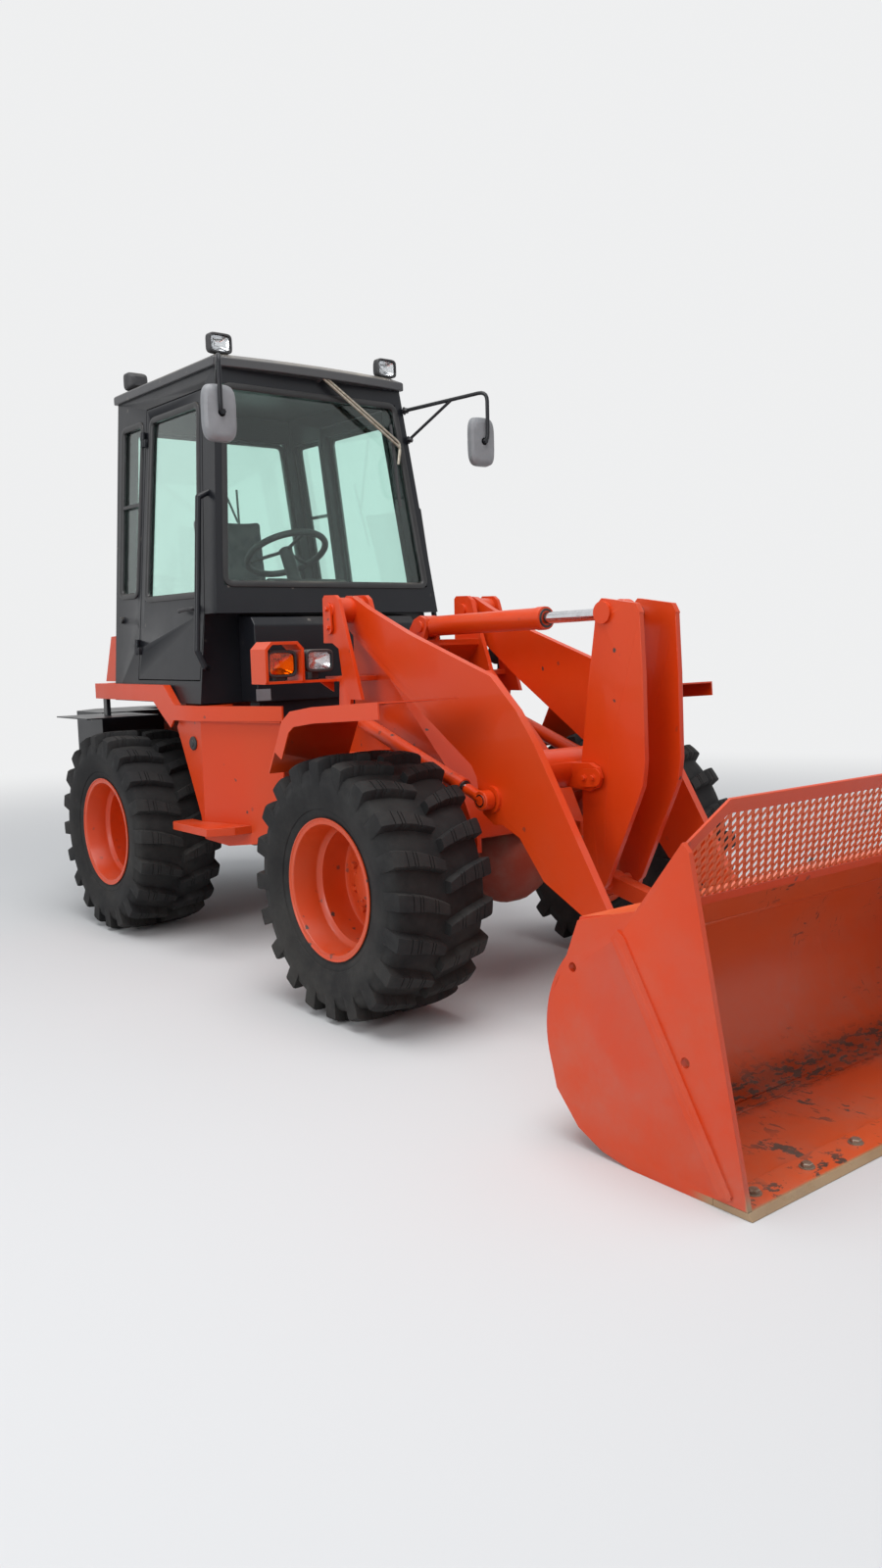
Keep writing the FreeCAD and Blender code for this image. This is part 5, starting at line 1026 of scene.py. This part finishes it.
def rod_eye(name, pin, direction, half_wide, radius, neck, reach):
    """The painted end of a rod: a round eye across its pin, and the neck that joins it to the rod."""
    side = np.array([0.0, 1.0, 0.0])
    eye = [(-half_wide, 0), (-half_wide, radius - 0.003), (-half_wide + 0.003, radius),
           (half_wide - 0.003, radius), (half_wide, radius - 0.003), (half_wide, 0)]
    shank = [(-reach, 0), (-reach, neck - 0.003), (-reach + 0.003, neck), (-radius * 1.35, neck),
             (-radius * 0.95, neck * 1.18), (-0.004, neck * 1.25), (-0.004, 0)]
    bolt = [(-half_wide - 0.003, 0), (-half_wide - 0.003, radius * 0.5),
            (half_wide + 0.003, radius * 0.5), (half_wide + 0.003, 0)]
    return joined(name, [turned_part(eye, side, pin, 48), turned_part(shank, direction, pin, 40),
                         turned_part(bolt, side, pin, 32)], 30.0)


# Cylinders: barrel, rod, radius of the gland, length from base pin to rod eye, and the eye's
# half width, radius, neck radius and reach. Every barrel's mouth is as far from its base pin.
MOUTH_REACH = 0.6975
CYLINDERS = {
    "tilt": ("tilt_barrel", "tilt_rod", 0.0428, 1.08017, (0.0212, 0.0455, 0.0245, 0.105)),
    "lift_left": ("lift_barrel_left", "lift_rod_left", 0.0308, 0.81684, (0.0212, 0.0345, 0.0205, 0.102)),
    "lift_right": ("lift_barrel_right", "lift_rod_right", 0.0308, 0.81684, (0.0212, 0.0345, 0.0205, 0.102)),
}
for label, (barrel, rod, radius, length, eye) in CYLINDERS.items():
    base, direction = pivot(f"{barrel}_turn"), slide_direction(f"{rod}_slide")
    mouth = base + direction * MOUTH_REACH
    dress(gland_ring(f"gland_{label}", mouth, direction, radius), orange_paint, f"{barrel}_body")
    dress(gland_wiper(f"gland_wiper_{label}", mouth, direction, radius), seal_rubber, f"{barrel}_body")
    end = rod_eye(f"rod_eye_{label}", base + direction * length, direction, *eye)
    dress(end, orange_paint, JOINTS[f"{rod}_slide"]["child"])
CRANK_EDGE = [(1.097, 0.447), (1.122, 0.470), (1.262, 0.765), (1.288, 0.825), (1.298, 0.905), (1.290, 1.19),
              (1.2785, 1.386), (1.262, 1.405), (1.240, 1.37), (1.200, 1.18), (1.115, 0.90), (1.090, 0.78)]
CRANK_PLATE_NEAR, CRANK_PLATE_FAR = 0.0784, 0.0996
elbows = joined("crank_front_plates", on_both_sides(CRANK_EDGE, CRANK_PLATE_NEAR, CRANK_PLATE_FAR), 30.0)
dress(round_edges(elbows, 0.002), boom_paint, body_of("bell_crank"))
print("pins", 2 * len(PINS), "glands", len(CYLINDERS), "rod eyes", len(CYLINDERS))

# %% [markdown]
# Window rubbers
# Each pane sits in a rubber profile. Its section, given in (inward, outward) steps, is
# carried round the window's outline, whose corners are rounded. The cab's walls lean, so
# a small function puts each point on its wall.

# %% Window rubbers
def side_wall(height):
    return 0.635 - 0.101 * (height - 1.072)


def front_wall(height):
    return -0.640 - 0.115 * (height - 1.457)


def rear_wall(height):
    return -1.640 - 0.07 * (height - 1.072)


RUBBER = [(-0.008, 0.0), (-0.006, 0.0045), (0.002, 0.0065), (0.014, 0.005), (0.020, 0.0), (0.022, -0.010),
          (0.021, -0.0138), (-0.004, -0.0138)]


def rounded_loop(corners, radius, steps=7):
    """A closed outline with its corners rounded, as points and unit vectors that point inwards."""
    corners = np.asarray(corners, float)
    middle = corners.mean(axis=0)
    closed = np.vstack([(corners[0] + corners[-1]) / 2, corners, (corners[0] + corners[-1]) / 2])
    path = rounded_path(closed, radius, steps)[:-1]
    ahead = np.roll(path, -1, axis=0) - np.roll(path, 1, axis=0)
    normal = np.stack([-ahead[:, 1], ahead[:, 0]], axis=1)
    normal /= np.linalg.norm(normal, axis=1, keepdims=True)
    flip = np.sign(np.sum(normal * (middle - path), axis=1, keepdims=True))
    return path, normal * flip


def window_rubber(name, corners, on_wall, body):
    """Point = wall(outline + inward * a) + outward * b, for each (a, b) of the section."""
    path, inward = rounded_loop(corners, 0.045)
    section = np.array(RUBBER)
    flat = path[:, None, :] + inward[:, None, :] * section[None, :, :1]
    points = on_wall(flat, section[None, :, 1])
    return dress(surface(name, points, True, True, 40.0), seal_rubber, body)


def on_side(side):
    return lambda flat, out: np.stack([flat[..., 0], side * (side_wall(flat[..., 1]) + out), flat[..., 1]], axis=-1)


def on_front(flat, out):
    return np.stack([front_wall(flat[..., 1]) + out, flat[..., 0], flat[..., 1]], axis=-1)


def on_rear(flat, out):
    return np.stack([rear_wall(flat[..., 1]) - out, flat[..., 0], flat[..., 1]], axis=-1)


DOOR_WINDOW = [(-1.343, 1.535), (-0.802, 1.535), (-0.888, 2.372), (-1.365, 2.372)]
SIDE_WINDOW = [(-1.628, 1.560), (-1.425, 1.560), (-1.444, 2.372), (-1.676, 2.372)]
FRONT_WINDOW = [(-0.545, 1.575), (0.545, 1.575), (0.458, 2.432), (-0.458, 2.432)]
REAR_WINDOW = [(-0.5, 1.5), (0.5, 1.5), (0.42, 2.38), (-0.42, 2.38)]
SPLIT_BAR = np.array([(-1.651, 1.985), (-1.437, 1.985), (-1.437, 2.0), (-1.651, 2.0)])
split_bars = []
for side_name, side in SIDES:
    window_rubber(f"door_rubber_{side_name}", DOOR_WINDOW, on_side(side), body_of(f"door_{side_name}"))
    window_rubber(f"side_rubber_{side_name}", SIDE_WINDOW, on_side(side), cab_body)
    split_bars.append(prism(*(on_side(side)(SPLIT_BAR, out) for out in (0.002, -0.013))))
window_rubber("front_rubber", FRONT_WINDOW, on_front, cab_body)
window_rubber("rear_rubber", REAR_WINDOW, on_rear, cab_body)
dress(joined("side_window_bars", split_bars), seal_rubber, cab_body)
print("window rubbers", 6)

# %% Door furniture and wipers
def beside_wall(x, z, out, side, wall_z):
    """A point beside the door: its distance out is from the wall at a given height."""
    return (x, side * (side_wall(wall_z) + out), z)


HANDLE_Z, CATCH_Z = 1.46, 1.455
HANDLE_PLATE = [(-0.842, 1.415), (-0.792, 1.415), (-0.792, 1.495), (-0.842, 1.495)]
HANDLE_GRIP = [(-0.815, 1.482, -0.002), (-0.815, 1.482, 0.032), (-0.920, 1.476, 0.034),
               (-0.945, 1.475, 0.020)]
for side_name, side in SIDES:
    wall_y = side_wall(HANDLE_Z)
    plate_part = slab(HANDLE_PLATE, side * (wall_y - 0.003), side * (wall_y + 0.004))
    corners = [beside_wall(*corner, side, HANDLE_Z) for corner in HANDLE_GRIP]
    grip = swept(rounded_path(corners, 0.016), 0.0085, 12)
    lock = turned_part([(0, 0), (0, 0.013), (0.008, 0.013), (0.010, 0.011), (0.010, 0)], (0, side, 0),
                       beside_wall(-0.815, 1.436, 0.003, side, HANDLE_Z), 24)
    handle = joined(f"door_handle_{side_name}", [plate_part, grip, lock])
    dress(handle, black_plastic, body_of(f"door_{side_name}"))
    catch = turned_part([(0, 0), (0, 0.016), (0.012, 0.016), (0.016, 0.012), (0.016, 0)], (0, side, 0),
                        beside_wall(-1.585, CATCH_Z, -0.001, side, CATCH_Z), 24)
    dress(joined(f"door_catch_{side_name}", [catch]), seal_rubber, cab_body)


def on_screen(y, z, out):
    """A point in front of the windscreen."""
    return np.array([front_wall(z) + out, y, z])


def behind_rear(y, z, out):
    """A point behind the rear window."""
    return np.array([rear_wall(z) - out, y, z])


wiper_arm = []
for shift in (0.0, 0.022):
    corners = [on_screen(0.024 + shift, 2.515, 0.034), on_screen(0.445, 2.225 + shift, 0.028),
               on_screen(0.43, 2.15, 0.018)]
    wiper_arm.append(swept(rounded_path(corners, 0.02), 0.006, 10))
wiper_blade = swept([on_screen(0.415, 2.335, 0.008), on_screen(0.42, 2.15, 0.006),
                     on_screen(0.424, 1.952, 0.008)], 0.0075, 8)
wiper_boss = turned_part([(0, 0), (0, 0.026), (0.026, 0.022), (0.036, 0.012), (0.036, 0)], (1, 0, 0.115),
                         on_screen(0.03, 2.515, 0.001), 24)
dress(joined("front_wiper", [wiper_blade, wiper_boss]), black_plastic, cab_body)
dress(joined("front_wiper_arm", wiper_arm), zinc, cab_body)
rear_blade = swept([behind_rear(0.13, z, 0.008) for z in (2.13, 1.95, 1.78)], 0.006, 8)
rear_arm = swept([behind_rear(-0.04, 2.36, 0.016), behind_rear(0.13, 1.96, 0.018)], 0.006, 8)
dress(joined("rear_wiper", [rear_blade, rear_arm]), black_plastic, cab_body)
print("handles and wipers")

# %% [markdown]
# Mirrors and steering wheel
# The mirrors' shells are rounded boxes like the lamps', with a flat mirror set in the
# side that the driver sees. The wheel is a torus with three spokes on the column's axis.

# %% Mirrors and steering wheel
MIRROR_AT = (-0.40, 0.679, 2.228)
MIRROR_SHELL = [(-0.036, 0.0, 0.0), (-0.036, 0.044, 0.080), (-0.033, 0.060, 0.096), (-0.023, 0.071, 0.108),
                (-0.002, 0.074, 0.111), (0.0, 0.072, 0.109), (0.0, 0.067, 0.104), (-0.003, 0.066, 0.103),
                (-0.003, 0, 0)]
MIRROR_PANE = [(-0.0035, 0, 0), (-0.0035, 0.065, 0.102), (-0.0015, 0.065, 0.102), (-0.0015, 0, 0)]


def mirror_arm(side, centre):
    """The bent tube that holds a mirror, its stay, and their bolts."""
    foot, low_foot = np.array([-0.735, side * 0.502, 2.408]), np.array([-0.722, side * 0.513, 2.272])
    elbow = np.array([-0.352, side * 0.690, 2.452])
    bend = [foot, elbow, elbow + np.array([0, 0, -0.215]), centre + np.array([0.03, 0, 0.0])]
    parts = [swept(rounded_path(bend, 0.045), 0.009, 12),
             swept([low_foot, foot + (elbow - foot) * 0.58], 0.007, 12)]
    behind = np.array([-0.004, 0, 0])
    parts += hex_heads([foot + behind, low_foot + behind], (0.9, side * 0.45, 0), 0.024, 0.02)
    return parts + hex_heads([centre + np.array([0.034, 0, 0])], (1, 0, 0), 0.022, 0.018)


for side_name, side in SIDES:
    centre = np.array(MIRROR_AT) * np.array([1, side, 1])
    for part, stations, finish in (("shell", MIRROR_SHELL, grey_plastic), ("glass", MIRROR_PANE, chrome)):
        piece = joined(f"mirror_{part}_{side_name}", [ring_part(stations, centre, 1, 4.0)], 30.0)
        dress(piece, finish, cab_body)
        if (part, side) == ("shell", 1):
            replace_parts(piece, "mirrors")
    dress(joined(f"mirror_arm_{side_name}", mirror_arm(side, centre)), black_paint, cab_body)
wheel_axis = np.array([-0.45, 0.0, 0.89])
wheel_axis /= np.linalg.norm(wheel_axis)
wheel_at = middle_of("steering_wheel")
GRIP_RADIUS, GRIP_THICK = 0.190, 0.0155
grip_ring = [(GRIP_THICK * np.sin(a), GRIP_RADIUS + GRIP_THICK * np.cos(a)) for a in np.linspace(0, TAU, 13)]
HORN_PAD = [(-0.004, 0), (-0.004, 0.03), (0.018, 0.034), (0.024, 0.028), (0.026, 0)]
wheel_parts = [turned_part(grip_ring, wheel_axis, wheel_at, 72),
               turned_part(HORN_PAD, wheel_axis, wheel_at, 40)]
for angle in (0.0, TAU / 3, 2 * TAU / 3):
    turned_by = Matrix.Rotation(angle, 3, Vector(wheel_axis))
    out = np.array(turned_by @ Vector((0.89, 0, 0.45)).normalized())
    spoke = [wheel_at + out * reach + wheel_axis * up
             for reach, up in ((0.02, 0.012), (0.1, 0.008), (0.186, 0))]
    wheel_parts.append(swept(rounded_path(spoke, 0.03), 0.0085, 10))
steering = dress(joined("steering_wheel_dressed", wheel_parts, 50.0), black_plastic, cab_body)
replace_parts(steering, "steering_wheel")
print("mirrors 2, steering wheel 1")

# %% [markdown]
# Spill guard and side bars
# The guard is a flat-bar frame filled with expanded mesh, and a flat bar runs down each
# side of the bucket. Both families of mesh strips
# are straight lines y = c +- z/tan(60), cut to the window by its half-planes: for every
# line at once, the largest entry and the smallest exit give its visible run.

# %% Spill guard mesh
GUARD_FOOT, GUARD_HEAD, GUARD_THICK = np.array([2.040, 0, 0.6495]), np.array([2.186, 0, 0.9345]), 0.008
GUARD_FACE = [(-0.914, 0.0), (0.914, 0.0), (0.914, 0.195), (0.808, 0.320), (-0.808, 0.320), (-0.914, 0.195)]
GUARD_WINDOW = [(-0.880, 0.028), (0.880, 0.028), (0.880, 0.180), (0.790, 0.278), (-0.790, 0.278), (-0.880, 0.180)]
guard_up = (GUARD_HEAD - GUARD_FOOT) / np.linalg.norm(GUARD_HEAD - GUARD_FOOT)
guard_out = np.array([guard_up[2], 0, -guard_up[0]])


def on_guard(flat, out):
    """A point of the guard from (across, up) and its distance out of the panel."""
    flat = np.asarray(flat, float)
    return (GUARD_FOOT + flat[..., :1] * np.array([0.0, 1.0, 0.0]) + flat[..., 1:2] * guard_up
            + np.asarray(out)[..., None] * guard_out)


def cut_runs(starts, direction, corners):
    """Entry and exit of each line start + t * direction inside a convex outline; empty runs are dropped."""
    corners = np.asarray(corners, float)
    edges = np.roll(corners, -1, axis=0) - corners
    normals = np.stack([-edges[:, 1], edges[:, 0]], axis=1)
    rate = normals @ direction
    gap = ((starts[:, None, :] - corners[None]) * normals[None]).sum(axis=2)
    with np.errstate(divide="ignore", invalid="ignore"):
        t = -gap / rate
    enter = np.where(rate > 1e-9, t, -np.inf).max(axis=1)
    leave = np.where(rate < -1e-9, t, np.inf).min(axis=1)
    keep = leave - enter > 0.004
    return starts[keep] + enter[keep, None] * direction, starts[keep] + leave[keep, None] * direction


STRIP_SIDES = np.array([[0, 1, 2, 3], [7, 6, 5, 4], [0, 4, 5, 1], [1, 5, 6, 2], [2, 6, 7, 3], [3, 7, 4, 0]])


def mesh_strips(pitch=0.0290, wide=0.0105, thick=0.0016):
    """Flat strips along both families of lines, as one (points, faces) pair for each."""
    outer = [(a * 1.004, b + (0.004 if b > 0.1 else -0.004)) for a, b in GUARD_WINDOW]
    along = np.arange(-1.2, 1.2, pitch)
    starts = np.stack([along, np.full(len(along), 0.15)], axis=1)
    parts = []
    for slant, out in ((np.pi / 3, 0.0044), (2 * np.pi / 3, 0.0026)):
        direction = np.array([np.cos(slant), np.sin(slant)])
        a, b = cut_runs(starts, direction, outer)
        side = np.array([-direction[1], direction[0]]) * wide / 2
        flat = np.stack([a - side, a + side, b + side, b - side], axis=1)
        levels = [on_guard(flat, np.full(flat.shape[:2], level)) for level in (out, out + thick)]
        every = STRIP_SIDES[None] + 8 * np.arange(len(a))[:, None, None]
        parts.append((np.stack(levels, axis=1).reshape(-1, 3), every.reshape(-1, 4)))
    return parts


def guard_frame():
    """The flat-bar frame: rings at the outer edge and the window, front and back."""
    rings = ((GUARD_FACE, 0.0), (GUARD_FACE, GUARD_THICK), (GUARD_WINDOW, GUARD_THICK), (GUARD_WINDOW, 0.0))
    points = np.stack([on_guard(ring, np.full(6, out)) for ring, out in rings])
    return points, grid_faces(4, 6, close_rows=True, close_columns=True)


guard_body = body_of("spill_guard")
guard = dress(joined("spill_guard_frame", [guard_frame()], 30.0), boom_paint, guard_body)
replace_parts(round_edges(guard, 0.0015), "spill_guard")
dress(joined("spill_guard_mesh", mesh_strips(), 30.0), bucket_orange, guard_body)
SIDE_BAR = [(1.930, 0.578), (1.952, 0.602), (1.974, 0.588), (2.297, 0.042), (2.262, 0.026)]
SIDE_BAR_NEAR, SIDE_BAR_FAR = 0.9312, 0.9378
side_bars = on_both_sides(SIDE_BAR, SIDE_BAR_NEAR, SIDE_BAR_FAR)
dress(joined("bucket_side_bars", side_bars, 30.0), bucket_orange, guard_body)
print("guard mesh, side bars", len(side_bars))

# %% [markdown]
# Seat
# The seat's pads are cloth: a slightly small block is remeshed, blown up by Cloth with
# inside pressure and no gravity, and held to a cap so that it keeps its size. The bulge
# gives the crowned form that foam under fabric has.

# %% Seat pads
def pad_block(low, high, inset):
    """A block a little smaller than the CAD solid."""
    low, high = np.asarray(low) + inset, np.asarray(high) - inset
    corners = np.array([[x, y, z] for z in (low[2], high[2])
                        for y in (low[1], high[1]) for x in (low[0], high[0])])
    faces = [[0, 1, 3, 2], [4, 6, 7, 5], [0, 4, 5, 1], [2, 3, 7, 6], [0, 2, 6, 4], [1, 5, 7, 3]]
    return corners, faces


def stuffed(name, corners, faces, cap, voxel=0.011, pressure=4.0):
    """Remesh, inflate with cloth, cap each point's move, then one level of subdivision."""
    pad = joined(name, [(corners, faces)])
    bevel = pad.modifiers.new("round_corners", "BEVEL")
    bevel.width, bevel.segments = 0.03, 3
    remesh = pad.modifiers.new("even_faces", "REMESH")
    remesh.mode, remesh.voxel_size = "VOXEL", voxel
    apply_modifiers(pad)
    rest = np.empty(len(pad.data.vertices) * 3)
    pad.data.vertices.foreach_get("co", rest)
    cloth_modifier = pad.modifiers.new("inflate", "CLOTH")
    settings = cloth_modifier.settings
    settings.use_pressure = True
    settings.uniform_pressure_force = pressure
    settings.effector_weights.gravity = 0.0
    cloth_modifier.point_cache.frame_start, cloth_modifier.point_cache.frame_end = 1, 20
    for number in range(1, 21):
        bpy.context.scene.frame_set(number)
    apply_modifiers(pad)
    bpy.context.scene.frame_set(1)
    moved = np.empty_like(rest)
    pad.data.vertices.foreach_get("co", moved)
    step = (moved - rest).reshape(-1, 3)
    length = np.linalg.norm(step, axis=1, keepdims=True)
    step *= np.minimum(1.0, cap / np.maximum(length, 1e-9))
    pad.data.vertices.foreach_set("co", (rest.reshape(-1, 3) + step).ravel())
    pad.data.update()
    crisp(pad, 80.0)
    finer = pad.modifiers.new("finer", "SUBSURF")
    finer.levels = finer.render_levels = 1
    return pad


def apply_modifiers(piece):
    """The piece's evaluated form becomes its mesh."""
    graph = bpy.context.evaluated_depsgraph_get()
    baked = bpy.data.meshes.new_from_object(piece.evaluated_get(graph))
    piece.modifiers.clear()
    piece.data = baked


PADS = {"seat_cushion": (0.022, 0.022, 0.018), "seat_back": (0.032, 0.024, 0.022)}
# The back leans: x of its corners at the low rear, low front, top rear and top front
BACK_LEAN = (([0, 2], -1.578), ([1, 3], -1.510), ([4, 6], -1.620), ([5, 7], -1.577))
for node, inset in PADS.items():
    corners, faces = pad_block(*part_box(node), inset)
    if node == "seat_back":
        for rows, x in BACK_LEAN:
            corners[rows, 0] = x
    pad = dress(stuffed(f"{node}_pad", corners, faces, 0.024), cloth, body_of(node))
    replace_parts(pad, node)
print("seat pads", 2)

# %% [markdown]
# Bolted details
# Bolts hold the cutting edge and the cover plate between the towers, and round caps sit on
# the side tanks. Hexagon heads are placed by short tables. A black slab fills the gap below
# the cab's front as painted shade, and a blank label sits on the cowl.

# %% Bolts, caps, painted shade slab and label
edge_bolts = [np.array([2.285, y, 0.0178]) for y in np.linspace(-0.84, 0.84, 9)]
dress(joined("cutting_edge_bolts", hex_heads(edge_bolts, (0, 0, 1), 0.026, 0.012), 30.0), worn_steel,
      body_of("bucket"))
cover_normal = np.array([0.694, 0, 0.72])
cover_bolts = [np.array([0.30, side * 0.20, 1.026]) + cover_normal * 0.001 for _, side in SIDES]
dress(joined("cover_bolts", hex_heads(cover_bolts, cover_normal, 0.022, 0.012), 30.0), zinc, front_body)
SENSOR_CAP = [(-0.003, 0), (-0.003, 0.030), (0.006, 0.030), (0.009, 0.026), (0.009, 0.016), (0.013, 0.014),
              (0.013, 0)]
caps = [turned_part(SENSOR_CAP, (0, side, 0), (-0.82, side * 0.6405, 0.90), 40) for _, side in SIDES]
dress(joined("tank_sensor_caps", caps, 30.0), black_plastic, body_of("body_sides"))
# A black slab below the cab's front: painted shade in the gap there.
shade_slab = [block((-0.70, -0.42, 1.00), (-0.62, 0.42, 1.0745))]
dress(joined("cab_front_shade_slab", shade_slab, 30.0), black_paint, body_of("body_sides"))
cowl_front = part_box("cowl")[1][0]
label = [block((cowl_front - 0.001, -0.443, 1.079), (cowl_front + 0.001, -0.372, 1.129))]
dress(joined("cowl_blank_label", label, 30.0), grey_plastic, body_of("cowl"))
print("bolts", len(edge_bolts) + len(cover_bolts), "shade_slab", len(shade_slab), "label", len(label))

# %% [markdown]
# Studio and camera
# The machine stands on a plain pale floor. The floor fades to the colour of the world
# before its edge, so that no horizon shows from any side. Light is broad and soft: a
# high softbox, a weaker one on the right, and an even world.

# %% Floor and light
BACKGROUND = (0.86, 0.865, 0.87)


def pale_floor():
    """A disc of floor whose finish turns from pale matt to the background colour with its radius."""
    radius = np.linspace(0, 40, 60)[:, None]
    angle = np.linspace(0, TAU, 96, endpoint=False)[None, :]
    points = np.stack([radius * np.cos(angle), radius * np.sin(angle), 0 * radius * angle - 0.0005], axis=2)
    floor = surface("studio_floor", points, close_columns=True)
    material = bpy.data.materials.new("pale_floor")
    material.use_nodes = True
    tree = material.node_tree
    shader = tree.nodes["Principled BSDF"]
    shader.inputs["Base Color"].default_value = (0.62, 0.625, 0.63, 1)
    shader.inputs["Roughness"].default_value = 0.85
    glow = put(tree, "ShaderNodeEmission", {"Color": (*BACKGROUND, 1.0), "Strength": 1.0})
    place = put(tree, "ShaderNodeTexCoord")
    length = put(tree, "ShaderNodeVectorMath", operation="LENGTH")
    join(tree, place, "Object", length, 0)
    fade = ramp(tree, length, "Value", 3.4, 9.5)
    both = put(tree, "ShaderNodeMixShader")
    join(tree, fade, 0, both, 0)
    join(tree, shader, "BSDF", both, 1)
    join(tree, glow, 0, both, 2)
    join(tree, both, 0, tree.nodes["Material Output"], "Surface")
    floor.data.materials.append(material)
    return floor


def studio_world():
    """An even world; camera, gloss and glass rays see the pale background."""
    world = bpy.data.worlds.new("studio")
    bpy.context.scene.world = world
    world.use_nodes = True
    tree = world.node_tree
    light = tree.nodes["Background"]
    light.inputs["Color"].default_value = (0.93, 0.96, 1.0, 1)
    light.inputs["Strength"].default_value = 0.55
    seen = put(tree, "ShaderNodeBackground", {"Color": (*BACKGROUND, 1.0), "Strength": 1.0})
    path = put(tree, "ShaderNodeLightPath")
    some = maths(tree, "MAXIMUM", (path, "Is Camera Ray"), (path, "Is Glossy Ray"))
    any_ray = maths(tree, "MAXIMUM", (some, 0), (path, "Is Transmission Ray"))
    both = put(tree, "ShaderNodeMixShader")
    join(tree, any_ray, 0, both, 0)
    join(tree, light, 0, both, 1)
    join(tree, seen, 0, both, 2)
    join(tree, both, 0, tree.nodes["World Output"], "Surface")


def softbox(name, place, aim, size, power):
    lamp = bpy.data.lights.new(name, "AREA")
    lamp.shape = "DISK"
    lamp.size = size
    lamp.energy = power
    holder = bpy.data.objects.new(name, lamp)
    bpy.context.scene.collection.objects.link(holder)
    direction = Vector(aim) - Vector(place)
    holder.matrix_world = Matrix.Translation(place) @ direction.to_track_quat("-Z", "Y").to_matrix().to_4x4()
    return holder


pale_floor()
studio_world()
softbox("softbox_high", (1.5, -1.5, 7.5), (0, 0, 1), 6.0, 430)
softbox("softbox_right", (2.5, -8.0, 4.0), (0, 0, 1), 4.0, 200)


# %% Camera
def photo_camera():
    """The photograph's camera: place, direction, roll and focal length, solved from the machine's lines."""
    place = Vector((3.9116, -3.0309, 1.3069))
    yaw, pitch, roll = 2.46971, -0.117769, -0.0258965
    forward = Vector((np.cos(pitch) * np.cos(yaw), np.cos(pitch) * np.sin(yaw), np.sin(pitch)))
    right = forward.cross(Vector((0, 0, 1))).normalized()
    up = right.cross(forward)
    level_right = np.cos(roll) * right + np.sin(roll) * up
    level_up = -np.sin(roll) * right + np.cos(roll) * up
    data = bpy.data.cameras.new("photo_camera")
    data.sensor_fit = "VERTICAL"
    data.sensor_height = 36.0
    data.lens = 36.0 * 1215.2 / 1600
    data.clip_end = 200
    camera = bpy.data.objects.new("photo_camera", data)
    bpy.context.scene.collection.objects.link(camera)
    turn = Matrix((level_right, level_up, -forward)).transposed().to_4x4()
    camera.matrix_world = Matrix.Translation(place) @ turn
    bpy.context.scene.camera = camera


photo_camera()
bpy.context.scene.view_settings.view_transform = "Standard"
